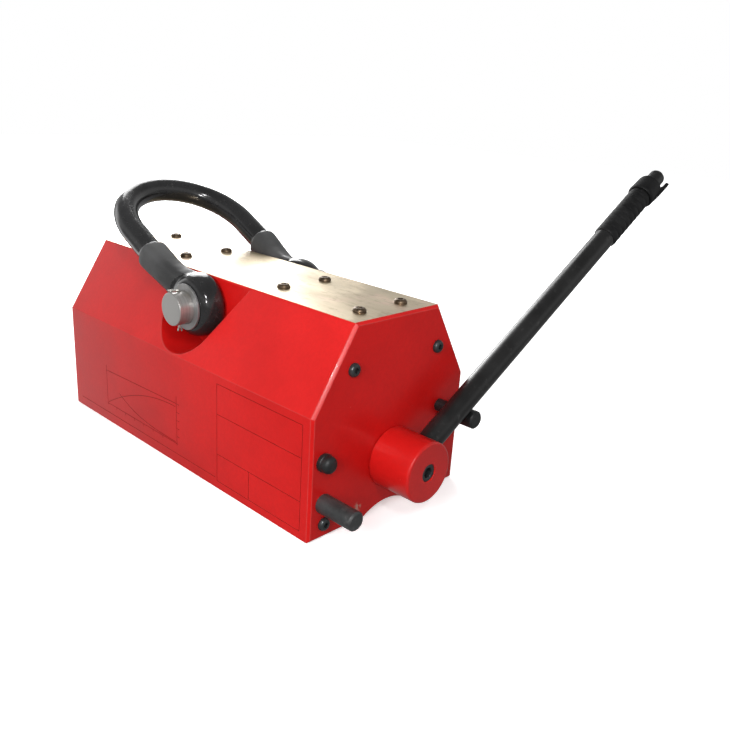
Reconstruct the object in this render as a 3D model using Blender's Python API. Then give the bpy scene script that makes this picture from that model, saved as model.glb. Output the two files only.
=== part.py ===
"""Permanent lifting magnet with a turning lever and a forged shackle.

Body coordinates: origin in the middle of the body on the plane of its pole faces, +X towards
the lever end, +Z up.  The root empty moves that point so that the assembly stands on z = 0
with the middle of its bounding box over the world origin.
"""

from math import asin, cos, hypot, pi, radians, sin, sqrt

import bmesh
import bpy
from mathutils import Matrix, Vector

MM = 0.001
GAP = 0.3 * MM

# Body
LENGTH = 443.0 * MM
WIDTH = 213.0 * MM
TOP_WIDTH = 114.5 * MM
HEIGHT = 204.4 * MM
WALL_HEIGHT = 124.8 * MM
END_PLATE = 14.0 * MM
END_CHAMFER = 2.8 * MM
TOP_PLATE = 3.0 * MM
ARCH_HALF_WIDTH = 32.0 * MM
ARCH_HEIGHT = 9.0 * MM
ARCH_STEPS = 12
BLIND_WALL = 3.0 * MM
MAGNET_CLEARANCE = 3.0 * MM
BEAM_WALL = 6.0 * MM
CORE_HALF_WIDTH = 20.0 * MM
SPACER_HALF_WIDTH = 12.0 * MM
SPACER_TOP = 15.5 * MM

# Rotor
AXIS_Z = 59.0 * MM
ROTOR_RADIUS = 42.0 * MM
ROTOR_BORE = 42.6 * MM
ROTOR_HALF_LENGTH = 193.0 * MM
ROTOR_TILT = radians(15.0)
MAGNET_HALF_THICKNESS = 13.0 * MM
MAGNET_HALF_HEIGHT = 38.0 * MM
DISC_RADIUS = 41.0 * MM
DISC_THICKNESS = 8.0 * MM
SHAFT_RADIUS = 16.0 * MM
BUSH_RADIUS = 22.0 * MM
HUB_SPIGOT = 14.0 * MM
SPIGOT_LENGTH = 30.0 * MM
BUSH_OVERHANG = 4.0 * MM

# Lever and hub
HUB_RADIUS = 31.0 * MM
HUB_LENGTH = 50.0 * MM
HUB_CLEARANCE = 0.8 * MM
HUB_SEAT = 31.0 * MM
HUB_ROUNDING = 3.0 * MM
LEVER_OFFSET = 25.0 * MM
LEVER_REST = radians(30.55)
LEVER_RADIUS = 12.0 * MM
LEVER_NECK = 10.5 * MM
LEVER_BORE = 6.5 * MM
LEVER_START = 17.5 * MM
LEVER_END = 478.0 * MM
GRIP_START = 378.0 * MM
GRIP_END = 491.0 * MM
GRIP_RADIUS = 13.6 * MM
GRIP_GROOVE = 1.1 * MM
GRIP_RIBS = 9
COLLAR_START = 462.0 * MM
COLLAR_RADIUS = 15.2 * MM
BUTTON_RADIUS = 9.8 * MM
BUTTON_BASE = 489.0 * MM
BUTTON_TIP = 512.5 * MM
BUTTON_ROUNDING = 5.5 * MM
ROD_RADIUS = 4.5 * MM
KEY_REACH = 76.5 * MM
KEY_RADIUS = 6.5 * MM
KEY_TRAVEL = 10.0 * MM
SPRING_START = 440.0 * MM
SPRING_LENGTH = 36.0 * MM
SPRING_TURNS = 8
SPRING_WIRE = 0.6 * MM
SPRING_RADIUS = 5.5 * MM
SLOT_CLEARANCE = 1.0 * MM

# Stops on the drive end plate
STOP_CIRCLE = 92.0 * MM
STOP_RADIUS = 9.5 * MM
STOP_ON_ANGLE = radians(193.5)
STOP_ON_LENGTH = 44.0 * MM
STOP_OFF_LENGTH = 37.0 * MM
STOP_DEPTH = 10.0 * MM
STOP_STEM = 6.0 * MM
STOP_CHAMFER = 1.6 * MM
CATCH_ANGLE = radians(167.2)
CATCH_CIRCLE = 93.3 * MM
CATCH_RADIUS = 9.0 * MM
CATCH_LENGTH = 12.5 * MM

# Shackle and its pin
PIN_Z = 173.0 * MM
PIN_RADIUS = 17.5 * MM
PIN_HALF_LENGTH = 105.5 * MM
POCKET_WALL = 58.0 * MM
POCKET_RADIUS = 47.0 * MM
POCKET_TOP_HALF_WIDTH = 72.0 * MM
EYE_RADIUS = 34.0 * MM
EYE_INNER = 59.2 * MM
EYE_OUTER = 86.2 * MM
BOW_REST = radians(27.0)
BOW_HALF_WIDTH = 77.0 * MM
BOW_CENTRE = 130.0 * MM
BOW_ROD = 14.0 * MM
BLOCK_LENGTH = 92.0 * MM
BLOCK_HALF_HEIGHT = 15.0 * MM
BLOCK_TIP_HALF_HEIGHT = 15.0 * MM
BLOCK_SINK = 22.0 * MM
WASHER_RADIUS = 24.5 * MM
WASHER_THICKNESS = 2.6 * MM
COTTER_Y = 95.0 * MM
COTTER_RADIUS = 2.0 * MM
COTTER_HEAD = 4.6 * MM
COTTER_TAIL = 8.0 * MM

# Screws
TOP_SCREW_X = (195.0 * MM, 87.0 * MM, -87.0 * MM, -195.0 * MM)
TOP_SCREW_Y = 28.5 * MM
END_SCREWS = ((59.0 * MM, 161.5 * MM), (88.0 * MM, 15.5 * MM))
SCREW_HEAD = 6.7 * MM
SCREW_HEAD_HEIGHT = 4.3 * MM
SCREW_SHANK = 3.4 * MM
SCREW_LENGTH = 15.0 * MM
SCREW_SOCKET = 2.4 * MM
SCREW_SOCKET_DEPTH = 2.2 * MM
TAPPED_DEPTH = 14.0 * MM
CENTRE_SCREW_THREAD = 5.0 * MM
CENTRE_SCREW_DEPTH = 20.0 * MM
CENTRE_SCREW_HEAD = 9.0 * MM
CENTRE_SCREW_SINK = 12.0 * MM
CENTRE_SCREW_SOCKET = 5.0 * MM
CENTRE_SCREW_SOCKET_DEPTH = 6.0 * MM
THROUGH = 20.0 * MM

HALF = LENGTH / 2
PLATE_INNER = HALF - END_PLATE
DECK_Z = HEIGHT - TOP_PLATE


# Helpers ------------------------------------------------------------------------------------

def clear_scene():
    for old in list(bpy.data.objects):
        bpy.data.objects.remove(old, do_unlink=True)


def material(name, colour, roughness, metallic=0.0):
    """A Principled material with one colour."""
    made = bpy.data.materials.new(name)
    made.use_nodes = True
    shader = made.node_tree.nodes["Principled BSDF"]
    shader.inputs["Base Color"].default_value = (*colour, 1.0)
    shader.inputs["Roughness"].default_value = roughness
    shader.inputs["Metallic"].default_value = metallic
    made.diffuse_color = (*colour, 1.0)
    return made


def empty(name, location, parent=None):
    made = bpy.data.objects.new(name, None)
    made.location = location
    made.parent = parent
    made.empty_display_size = 0.03
    bpy.context.collection.objects.link(made)
    return made


def add(name, mesh, look, parent, matrix=None):
    """Link a mesh as a named object under its parent."""
    mesh.shade_smooth()
    mesh.set_sharp_from_angle(angle=radians(35))
    made = bpy.data.objects.new(name, mesh)
    made.parent = parent
    if matrix is not None:
        made.matrix_local = matrix
    if not mesh.materials:
        mesh.materials.append(MATERIALS[look])
    bpy.context.collection.objects.link(made)
    return made


def to_mesh(bm, name):
    bmesh.ops.recalc_face_normals(bm, faces=bm.faces)
    mesh = bpy.data.meshes.new(name)
    bm.to_mesh(mesh)
    bm.free()
    return mesh


def along(axis, across, up, reach):
    """Place a flat point (across, up) at a distance along X or Y."""
    return Vector((reach, across, up)) if axis == "X" else Vector((across, reach, up))


def prism(name, outline, axis, start, end):
    """A straight extrusion of a closed outline along X or Y."""
    return loft(name, axis, ((start, outline), (end, outline)))


def loft(name, axis, sections):
    """Closed solid through sections that all have the same number of points."""
    bm = bmesh.new()
    rings = []
    for reach, outline in sections:
        rings.append([bm.verts.new(along(axis, a, b, reach)) for a, b in outline])
    for low, high in zip(rings, rings[1:]):
        for i in range(len(low)):
            j = (i + 1) % len(low)
            bm.faces.new((low[i], low[j], high[j], high[i]))
    bm.faces.new(rings[0])
    bm.faces.new(rings[-1])
    return to_mesh(bm, name)


def turned(name, profile, steps=40, hexagons=()):
    """Turn a profile of (distance along +Z, radius) points about Z.

    The profile runs from one point on the axis to another.  Points listed in hexagons take
    the outline of a hexagon whose flats are at that radius.
    """
    bm = bmesh.new()
    rings = []
    for index, (reach, radius) in enumerate(profile):
        if radius == 0:
            rings.append([bm.verts.new((0, 0, reach))])
            continue
        ring = []
        for step in range(steps):
            angle = 2 * pi * step / steps
            local = radius
            if index in hexagons:
                local = radius / cos(angle % (pi / 3) - pi / 6)
            ring.append(bm.verts.new((local * cos(angle), local * sin(angle), reach)))
        rings.append(ring)
    for low, high in zip(rings, rings[1:]):
        join_rings(bm, low, high)
    return to_mesh(bm, name)


def turned_ring(name, profile, steps=40):
    """Turn a closed profile that stays off the axis, for sleeves and washers."""
    bm = bmesh.new()
    rings = []
    for reach, radius in profile:
        ring = []
        for step in range(steps):
            angle = 2 * pi * step / steps
            ring.append(bm.verts.new((radius * cos(angle), radius * sin(angle), reach)))
        rings.append(ring)
    for low, high in zip(rings, rings[1:] + rings[:1]):
        join_rings(bm, low, high)
    return to_mesh(bm, name)


def join_rings(bm, low, high):
    """Faces between two rings, either of which may be a single point on the axis."""
    steps = max(len(low), len(high))
    for step in range(steps):
        after = (step + 1) % steps
        if len(low) == 1:
            bm.faces.new((low[0], high[after], high[step]))
        elif len(high) == 1:
            bm.faces.new((low[step], low[after], high[0]))
        else:
            bm.faces.new((low[step], low[after], high[after], high[step]))


def sleeve_profile(start, end, inner, outer, chamfer):
    """Closed profile of a plain sleeve with chamfered outer edges."""
    return (
        (start, inner),
        (start, outer - chamfer),
        (start + chamfer, outer),
        (end - chamfer, outer),
        (end, outer - chamfer),
        (end, inner),
    )


def rod_profile(start, end, radius, chamfer):
    """Profile of a plain rod with chamfered ends."""
    return (
        (start, 0),
        (start, radius - chamfer),
        (start + chamfer, radius),
        (end - chamfer, radius),
        (end, radius - chamfer),
        (end, 0),
    )


def facing(direction, place):
    """Matrix that turns +Z to a direction and moves the origin to a place."""
    turn = Vector(direction).to_track_quat("Z", "Y").to_matrix().to_4x4()
    return Matrix.Translation(place) @ turn


def cutter(name, mesh, parent, matrix=None):
    """A guide solid that only cuts others."""
    made = add(name, mesh, "tool", parent, matrix)
    made.hide_render = True
    made.display_type = "WIRE"
    return made


def cut(target, tool):
    boolean = target.modifiers.new("cut " + tool.name, "BOOLEAN")
    boolean.operation = "DIFFERENCE"
    boolean.solver = "EXACT"
    boolean.object = tool


def joined_cylinders(name, places, radius, start, end, steps=24):
    """Several separate parallel cylinders along Z in one mesh, used as a cutter."""
    bm = bmesh.new()
    depth = end - start
    for x, y in places:
        centre = Matrix.Translation((x, y, (start + end) / 2))
        bmesh.ops.create_cone(
            bm,
            cap_ends=True,
            segments=steps,
            radius1=radius,
            radius2=radius,
            depth=depth,
            matrix=centre,
        )
    return to_mesh(bm, name)


def polar(radius, angle):
    """Body y and z of a point on a circle about the rotor's axis."""
    return radius * cos(angle), AXIS_Z + radius * sin(angle)


# Outlines -----------------------------------------------------------------------------------

ARCH_CURVE = (ARCH_HALF_WIDTH**2 + ARCH_HEIGHT**2) / (2 * ARCH_HEIGHT)


def arch_height(y):
    """Height of the shallow arch between the pole faces."""
    return ARCH_HEIGHT - ARCH_CURVE + sqrt(ARCH_CURVE**2 - y * y)


def arch(y_from, y_to, steps):
    spread = y_to - y_from
    ys = [y_from + spread * i / steps for i in range(steps + 1)]
    return [(y, max(0.0, arch_height(y))) for y in ys]


def body_outline():
    """Six-sided section of the body with the arch in its base."""
    points = [(-WIDTH / 2, 0), (-WIDTH / 2, WALL_HEIGHT), (-TOP_WIDTH / 2, HEIGHT)]
    mirrored = [(-y, z) for y, z in reversed(points)]
    return points + mirrored + arch(ARCH_HALF_WIDTH, -ARCH_HALF_WIDTH, ARCH_STEPS)


def inset(outline, amount):
    """Outline moved inwards by the same amount along every edge."""
    result = []
    count = len(outline)
    for i in range(count):
        before = Vector(outline[i - 1])
        here = Vector(outline[i])
        after = Vector(outline[(i + 1) % count])
        first = (here - before).normalized()
        second = (after - here).normalized()
        inward_a = Vector((first.y, -first.x))
        inward_b = Vector((second.y, -second.x))
        middle = (inward_a + inward_b).normalized()
        result.append(tuple(here + middle * amount / middle.dot(inward_a)))
    return result


def pole_outline():
    """Section of the front pole, with the rotor's bore and its half of the arch."""
    edge = SPACER_HALF_WIDTH + GAP
    core = CORE_HALF_WIDTH + GAP
    points = arch(-edge, -ARCH_HALF_WIDTH, ARCH_STEPS // 2)
    points += [(-WIDTH / 2, 0), (-WIDTH / 2, WALL_HEIGHT)]
    slope = (WIDTH - TOP_WIDTH) / 2 / (HEIGHT - WALL_HEIGHT)
    points += [(-TOP_WIDTH / 2 - (TOP_PLATE + GAP) * slope, DECK_Z - GAP), (-core, DECK_Z - GAP)]
    first = pi - asin(sqrt(ROTOR_BORE**2 - core**2) / ROTOR_BORE)
    last = pi + asin(sqrt(ROTOR_BORE**2 - edge**2) / ROTOR_BORE)
    steps = 18
    points += [polar(ROTOR_BORE, first + (last - first) * i / steps) for i in range(steps + 1)]
    return points


def pocket_outline():
    """Flared U of the pocket around the shackle's eye, open upwards."""
    half = POCKET_TOP_HALF_WIDTH
    rise = HEIGHT - PIN_Z
    reach = hypot(half, rise)
    tangent = asin(rise / reach) - (pi / 2 - asin(POCKET_RADIUS / reach))
    steps = 20
    sweep = -pi - 2 * tangent
    arc = [tangent + sweep * i / steps for i in range(steps + 1)]
    points = [(POCKET_RADIUS * cos(a), PIN_Z + POCKET_RADIUS * sin(a)) for a in arc]
    over = 1.25
    top = PIN_Z + rise * over
    flare = half + (half - POCKET_RADIUS * cos(tangent)) * (over - 1) * rise / (
        rise - POCKET_RADIUS * sin(tangent)
    )
    return points + [(-flare, top), (flare, top)]


# Body ---------------------------------------------------------------------------------------

def build_poles(root):
    """Front and rear poles, bored for the rotor, the shackle pin and the cover's screws."""
    reach = PLATE_INNER - GAP
    front = pole_outline()
    rear = [(-y, z) for y, z in reversed(front)]
    pin_hole = joined_cylinders("pin hole", [(0, 0)], PIN_RADIUS + GAP, -WIDTH, WIDTH, 48)
    pin_tool = cutter("pin hole cutter", pin_hole, root, facing((0, 1, 0), (0, 0, PIN_Z)))
    pockets = []
    screw_places = [(x, side * TOP_SCREW_Y) for x in TOP_SCREW_X for side in (-1, 1)]
    holes = joined_cylinders("tapped", screw_places, SCREW_SHANK + GAP, DECK_Z - TAPPED_DEPTH, HEIGHT)
    hole_tool = cutter("cover screw holes in poles", holes, root)
    end_tools = [end_screw_cutter(side, PLATE_INNER - TAPPED_DEPTH, root) for side in (1, -1)]
    for name, outline, side in (("pole_front", front, -1), ("pole_rear", rear, 1)):
        pole = add(name, prism(name, outline, "X", -reach, reach), "paint", root)
        walls = sorted((side * POCKET_WALL, side * WIDTH))
        pocket = prism(name + " pocket", pocket_outline(), "Y", *walls)
        pockets.append(cutter(name + " pocket cutter", pocket, root))
        for tool in [pockets[-1], pin_tool, hole_tool, *end_tools]:
            cut(pole, tool)
    return pin_tool, pockets


def end_screw_places():
    """Body y and z of the four screws of an end plate."""
    return [(side * y, z) for y, z in END_SCREWS for side in (-1, 1)]


def end_screw_cutter(side, start, root):
    """Cutter for an end plate's four screw holes, from a distance along the body outwards."""
    out = facing((side, 0, 0), (0, 0, 0))
    local = [out.inverted() @ Vector((0, y, z)) for y, z in end_screw_places()]
    places = [(point.x, point.y) for point in local]
    name = f"end screw holes {side} from {start:.4f}"
    holes = joined_cylinders(name, places, SCREW_SHANK + GAP, start, HALF + THROUGH)
    return cutter(name, holes, root, out)


def build_middle(root, pin_tool):
    """Pieces held between the two poles."""
    reach = PLATE_INNER - GAP
    edge = SPACER_HALF_WIDTH
    spacer = arch(edge, -edge, 6) + [(-edge, SPACER_TOP), (edge, SPACER_TOP)]
    add("pole_spacer", prism("pole_spacer", spacer, "X", -reach, reach), "brass", root)
    core = CORE_HALF_WIDTH
    magnet_low = AXIS_Z + ROTOR_BORE + MAGNET_CLEARANCE
    magnet_high = PIN_Z - PIN_RADIUS - BEAM_WALL
    thirds = 3
    span = 2 * reach / thirds
    for index in range(thirds):
        start = -reach + index * span
        outline = box_outline(core, magnet_low, magnet_high)
        name = f"stator_magnet_{index + 1}"
        block = prism(name, outline, "X", start + GAP / 2, start + span - GAP / 2)
        add(name, block, "magnet", root)
    outline = box_outline(core, magnet_high + GAP, DECK_Z - GAP)
    beam = add("lifting_beam", prism("lifting_beam", outline, "X", -reach, reach), "steel", root)
    cut(beam, pin_tool)


def box_outline(half, low, high):
    return [(-half, low), (-half, high), (half, high), (half, low)]


def build_covers(root, pockets):
    """End plates and top cover plate with their screws."""
    outline = body_outline()
    small = inset(outline, END_CHAMFER)
    for name, side in (("drive_end_plate", 1), ("far_end_plate", -1)):
        sections = (
            (side * PLATE_INNER, outline),
            (side * (HALF - END_CHAMFER), outline),
            (side * HALF, small),
        )
        plate = add(name, loft(name, "X", sections), "paint", root)
        out = facing((side, 0, 0), (0, 0, AXIS_Z))
        depth = LENGTH if side == 1 else HALF - BLIND_WALL
        bore = joined_cylinders(name + " bore", [(0, 0)], BUSH_RADIUS + GAP, 0, depth, 32)
        cut(plate, cutter(name + " bore cutter", bore, root, out))
        cut(plate, end_screw_cutter(side, PLATE_INNER - END_CHAMFER, root))
        rebate = box_outline(TOP_WIDTH, DECK_Z - GAP, HEIGHT + END_PLATE)
        span = sorted((side * (PLATE_INNER - END_PLATE), side * (HALF - END_CHAMFER)))
        mesh = prism(name + " rebate", rebate, "X", *span)
        cut(plate, cutter(name + " rebate cutter", mesh, root))
        if side == 1:
            seats = stop_seats("stop seats")
            cut(plate, cutter("stop seat cutter", seats, root, facing((1, 0, 0), (0, 0, 0))))
        for number, (y, z) in enumerate(end_screw_places(), 1):
            place = facing((side, 0, 0), (side * (HALF + GAP), y, z))
            add(f"{name.replace('_plate', '')}_screw_{number}", SCREW_MESH, "dark", root, place)

    half = TOP_WIDTH / 2
    slope = (WIDTH - TOP_WIDTH) / 2 / (HEIGHT - WALL_HEIGHT)
    outline = [(-half - TOP_PLATE * slope, DECK_Z), (-half, HEIGHT)]
    outline += [(-y, z) for y, z in reversed(outline)]
    reach = HALF - END_CHAMFER - GAP
    cover = add("top_cover_plate", prism("top_cover_plate", outline, "X", -reach, reach), "gold", root)
    places = [(x, side * TOP_SCREW_Y) for x in TOP_SCREW_X for side in (-1, 1)]
    holes = joined_cylinders("cover holes", places, SCREW_SHANK + GAP, DECK_Z - TOP_PLATE, HEIGHT + THROUGH)
    for tool in [cutter("cover screw holes", holes, root), *pockets]:
        cut(cover, tool)
    for number, (x, y) in enumerate(places, 1):
        place = facing((0, 0, 1), (x, y, HEIGHT + GAP))
        add(f"top_cover_screw_{number}", SCREW_MESH, "bronze", root, place)


def stop_places():
    """Body y, z, radius and length of the two stop pins and the catch."""
    clear = LEVER_RADIUS + STOP_RADIUS + 2 * GAP
    stop_off_angle = LEVER_REST - asin(clear / STOP_CIRCLE)
    return {
        "stop_pin_off": (*polar(STOP_CIRCLE, stop_off_angle), STOP_RADIUS, STOP_OFF_LENGTH),
        "stop_pin_on": (*polar(STOP_CIRCLE, STOP_ON_ANGLE), STOP_RADIUS, STOP_ON_LENGTH),
        "key_catch": (*polar(CATCH_CIRCLE, CATCH_ANGLE), CATCH_RADIUS, CATCH_LENGTH),
    }


def stop_seats(name):
    """Blind holes in the drive end plate for the stops."""
    places = []
    for y, z, _, _ in stop_places().values():
        local = facing((1, 0, 0), (0, 0, 0)).inverted() @ Vector((0, y, z))
        places.append((local.x, local.y))
    depth = HALF - STOP_DEPTH - GAP
    return joined_cylinders(name, places, STOP_STEM + GAP, depth, HALF + THROUGH)


def build_stops(root):
    """Stop pins and catch, each with a stem pressed into the end plate."""
    for name, (y, z, radius, length) in stop_places().items():
        profile = (
            (-STOP_DEPTH, 0),
            (-STOP_DEPTH, STOP_STEM),
            (GAP, STOP_STEM),
            (GAP, radius),
            (length - STOP_CHAMFER, radius),
            (length, radius - STOP_CHAMFER),
            (length, 0),
        )
        mesh = turned(name, profile, 32)
        add(name, mesh, "dark", root, facing((1, 0, 0), (HALF, y, z)))


# Rotor and lever ----------------------------------------------------------------------------

def build_rotor(turning):
    """Two steel halves around a magnet, between discs that carry the shafts."""
    inner = MAGNET_HALF_THICKNESS + GAP
    half_angle = asin(sqrt(ROTOR_RADIUS**2 - inner**2) / ROTOR_RADIUS)
    steps = 24
    angles = [-half_angle + 2 * half_angle * i / steps for i in range(steps + 1)]
    shell = [(ROTOR_RADIUS * cos(a), ROTOR_RADIUS * sin(a)) for a in angles]
    tilt = Matrix.Rotation(ROTOR_TILT, 4, "X")
    reach = ROTOR_HALF_LENGTH
    add("rotor_pole_a", prism("rotor_pole_a", shell, "X", -reach, reach), "steel", turning, tilt)
    turned_over = Matrix.Rotation(ROTOR_TILT + pi, 4, "X")
    mesh = prism("rotor_pole_b", shell, "X", -reach, reach)
    add("rotor_pole_b", mesh, "steel", turning, turned_over)
    slab = box_outline(MAGNET_HALF_THICKNESS, -MAGNET_HALF_HEIGHT, MAGNET_HALF_HEIGHT)
    mesh = prism("rotor_magnet", slab, "X", -reach, reach)
    add("rotor_magnet", mesh, "magnet", turning, tilt)

    disc = reach + GAP
    shoulder = disc + DISC_THICKNESS
    flange = [(disc, 0), (disc, DISC_RADIUS), (shoulder, DISC_RADIUS), (shoulder, SHAFT_RADIUS)]
    drive_end = HALF + SPIGOT_LENGTH
    drive = flange + [
        (HALF, SHAFT_RADIUS),
        (HALF, HUB_SPIGOT),
        (drive_end, HUB_SPIGOT),
        (drive_end, CENTRE_SCREW_THREAD),
        (drive_end - CENTRE_SCREW_DEPTH, CENTRE_SCREW_THREAD),
        (drive_end - CENTRE_SCREW_DEPTH, 0),
    ]
    add("drive_shaft", turned("drive_shaft", drive, 32), "steel", turning, facing((1, 0, 0), (0, 0, 0)))
    far_end = HALF - BLIND_WALL - 1.0 * MM
    far = flange + [(far_end - 1 * MM, SHAFT_RADIUS), (far_end, SHAFT_RADIUS - 1 * MM), (far_end, 0)]
    add("far_shaft", turned("far_shaft", far, 32), "steel", turning, facing((-1, 0, 0), (0, 0, 0)))


def build_bushes(root):
    """Plain bearings in the end plates."""
    blind = HALF - BLIND_WALL - GAP
    for name, side, end in (("drive_bush", 1, HALF - GAP), ("far_bush", -1, blind)):
        start = PLATE_INNER - BUSH_OVERHANG
        profile = sleeve_profile(start, end, SHAFT_RADIUS + GAP, BUSH_RADIUS, 0.6 * MM)
        add(name, turned_ring(name, profile, 32), "brass", root, facing((side, 0, 0), (0, 0, AXIS_Z)))


def build_hub(turning):
    """Red hub on the drive shaft, cross-bored for the lever, with its centre screw."""
    start = HALF + HUB_CLEARANCE
    end = HALF + HUB_LENGTH
    corner = [
        (end - HUB_ROUNDING * (1 - sin(a)), HUB_RADIUS - HUB_ROUNDING * (1 - cos(a)))
        for a in (0, pi / 6, pi / 3, pi / 2)
    ]
    seat = HALF + HUB_SEAT
    under = end - CENTRE_SCREW_SINK
    profile = [
        (seat, HUB_SPIGOT + GAP),
        (start, HUB_SPIGOT + GAP),
        (start, HUB_RADIUS - 0.8 * MM),
        (start + 0.8 * MM, HUB_RADIUS),
        *corner,
        (end, CENTRE_SCREW_HEAD),
        (under, CENTRE_SCREW_HEAD),
        (under, CENTRE_SCREW_THREAD + GAP),
        (seat, CENTRE_SCREW_THREAD + GAP),
    ]
    mesh = turned_ring("lever_hub", profile, 36)
    hub = add("lever_hub", mesh, "paint", turning, facing((1, 0, 0), (0, 0, 0)))
    depth = LEVER_START - GAP
    bore = joined_cylinders("lever socket", [(0, 0)], LEVER_RADIUS + GAP, depth, HUB_RADIUS * 2, 32)
    cut(hub, cutter("lever socket cutter", bore, turning, facing(LEVER_WAY, (HALF + LEVER_OFFSET, 0, 0))))
    head = end - 1.0 * MM
    tip = HALF + HUB_SPIGOT
    radius = CENTRE_SCREW_HEAD - GAP
    chamfer = 0.8 * MM
    profile = [
        (tip, 0),
        (tip, CENTRE_SCREW_THREAD - GAP),
        (under + GAP, CENTRE_SCREW_THREAD - GAP),
        (under + GAP, radius),
        (head - chamfer, radius),
        (head, radius - chamfer),
        (head, CENTRE_SCREW_SOCKET),
        (head - CENTRE_SCREW_SOCKET_DEPTH, CENTRE_SCREW_SOCKET),
        (head - CENTRE_SCREW_SOCKET_DEPTH, 0),
    ]
    mesh = turned("hub_screw", profile, 24, hexagons=(6, 7))
    add("hub_screw", mesh, "dark", turning, facing((1, 0, 0), (0, 0, 0)))


def build_lever(turning):
    """Tubular lever, necked down inside its grip; the slot in its back lets the key through."""
    place = facing(LEVER_WAY, (HALF + LEVER_OFFSET, 0, 0))
    chamfer = 0.8 * MM
    neck = GRIP_START - GAP
    profile = (
        (LEVER_START, LEVER_BORE),
        (LEVER_START, LEVER_RADIUS - chamfer),
        (LEVER_START + chamfer, LEVER_RADIUS),
        (neck - chamfer, LEVER_RADIUS),
        (neck, LEVER_RADIUS - chamfer),
        (neck, LEVER_NECK),
        (LEVER_END, LEVER_NECK),
        (LEVER_END, LEVER_BORE),
    )
    tube = add("lever_tube", turned_ring("lever_tube", profile, 32), "black", turning, place)
    slot_low = KEY_REACH - KEY_TRAVEL - KEY_RADIUS - SLOT_CLEARANCE
    slot_high = KEY_REACH + KEY_RADIUS + SLOT_CLEARANCE
    half = KEY_RADIUS + 0.6 * MM
    bm = bmesh.new()
    bmesh.ops.create_cube(bm, size=1.0)
    size = Matrix.Diagonal((LEVER_RADIUS * 2, 2 * half, slot_high - slot_low, 1))
    middle = Matrix.Translation((-LEVER_RADIUS, 0, (slot_high + slot_low) / 2))
    bm.transform(middle @ size)
    slot = to_mesh(bm, "key slot")
    way = Vector(LEVER_WAY)
    frame = Matrix.Identity(4)
    frame.col[0] = (1, 0, 0, 0)
    frame.col[1] = (*way.cross(Vector((1, 0, 0))), 0)
    frame.col[2] = (*way, 0)
    frame.col[3] = (HALF + LEVER_OFFSET, 0, 0, 1)
    cut(tube, cutter("key slot cutter", slot, turning, frame))

    inner = LEVER_NECK + GAP
    seat = BUTTON_RADIUS + GAP
    outer = [(GRIP_START, GRIP_RADIUS - GRIP_GROOVE)]
    pitch = (COLLAR_START - GRIP_START) / GRIP_RIBS
    for rib in range(GRIP_RIBS):
        low = GRIP_START + rib * pitch
        outer += [(low + pitch * 0.3, GRIP_RADIUS), (low + pitch * 0.7, GRIP_RADIUS)]
        outer += [(low + pitch, GRIP_RADIUS - GRIP_GROOVE)]
    outer += [
        (COLLAR_START + 1.5 * MM, COLLAR_RADIUS - 0.8 * MM),
        (COLLAR_START + 4.0 * MM, COLLAR_RADIUS),
        (GRIP_END - 2.5 * MM, COLLAR_RADIUS - 0.4 * MM),
        (GRIP_END, COLLAR_RADIUS - 2.4 * MM),
        (GRIP_END, seat),
        (LEVER_END + GAP, seat),
        (LEVER_END + GAP, inner),
    ]
    profile = [(GRIP_START, inner), *outer]
    add("lever_grip", turned_ring("lever_grip", profile, 16), "rubber", turning, place)
    return place


def build_key(turning, place):
    """Tip button, push rod and locking key, which slide together along the lever."""
    sliding = empty("key_slide_axis", (0, 0, 0), turning)
    curve = [
        (BUTTON_TIP - BUTTON_ROUNDING * (1 - sin(a)), BUTTON_RADIUS - BUTTON_ROUNDING * (1 - cos(a)))
        for a in (0, pi / 8, pi / 4, 3 * pi / 8, pi / 2)
    ]
    profile = [(BUTTON_BASE, 0), (BUTTON_BASE, BUTTON_RADIUS), *curve, (BUTTON_TIP, 0)]
    add("tip_button", turned("tip_button", profile, 24), "black", sliding, place)
    start = KEY_REACH - KEY_RADIUS - 3.0 * MM
    profile = rod_profile(start, BUTTON_BASE - GAP, ROD_RADIUS, 0.6 * MM)
    add("push_rod", turned("push_rod", profile, 20), "steel", sliding, place)
    add("key_spring", coil("key_spring"), "bright", sliding, place)
    y = KEY_REACH * cos(LEVER_REST)
    z = KEY_REACH * sin(LEVER_REST)
    base = 2.5 * MM
    top = LEVER_OFFSET - ROD_RADIUS - GAP
    profile = rod_profile(base, top, KEY_RADIUS, 1.0 * MM)
    mesh = turned("locking_key", profile, 24)
    add("locking_key", mesh, "dark", sliding, facing((1, 0, 0), (HALF, y, z)))


def coil(name):
    """Round-wire compression spring around the push rod, along +Z."""
    bm = bmesh.new()
    steps = SPRING_TURNS * 10
    sides = 5
    pitch = SPRING_LENGTH / SPRING_TURNS
    rings = []
    for i in range(steps + 1):
        angle = 2 * pi * SPRING_TURNS * i / steps
        out = Vector((cos(angle), sin(angle), 0))
        climb = Vector((-sin(angle), cos(angle), pitch / (2 * pi * SPRING_RADIUS))).normalized()
        across = climb.cross(out)
        centre = out * SPRING_RADIUS + Vector((0, 0, SPRING_START + SPRING_LENGTH * i / steps))
        ring = []
        for side in range(sides):
            turn = 2 * pi * side / sides
            ring.append(bm.verts.new(centre + (out * cos(turn) + across * sin(turn)) * SPRING_WIRE))
        rings.append(ring)
    for low, high in zip(rings, rings[1:]):
        join_rings(bm, low, high)
    bm.faces.new(rings[0])
    bm.faces.new(rings[-1])
    return to_mesh(bm, name)


# Shackle ------------------------------------------------------------------------------------

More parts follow.
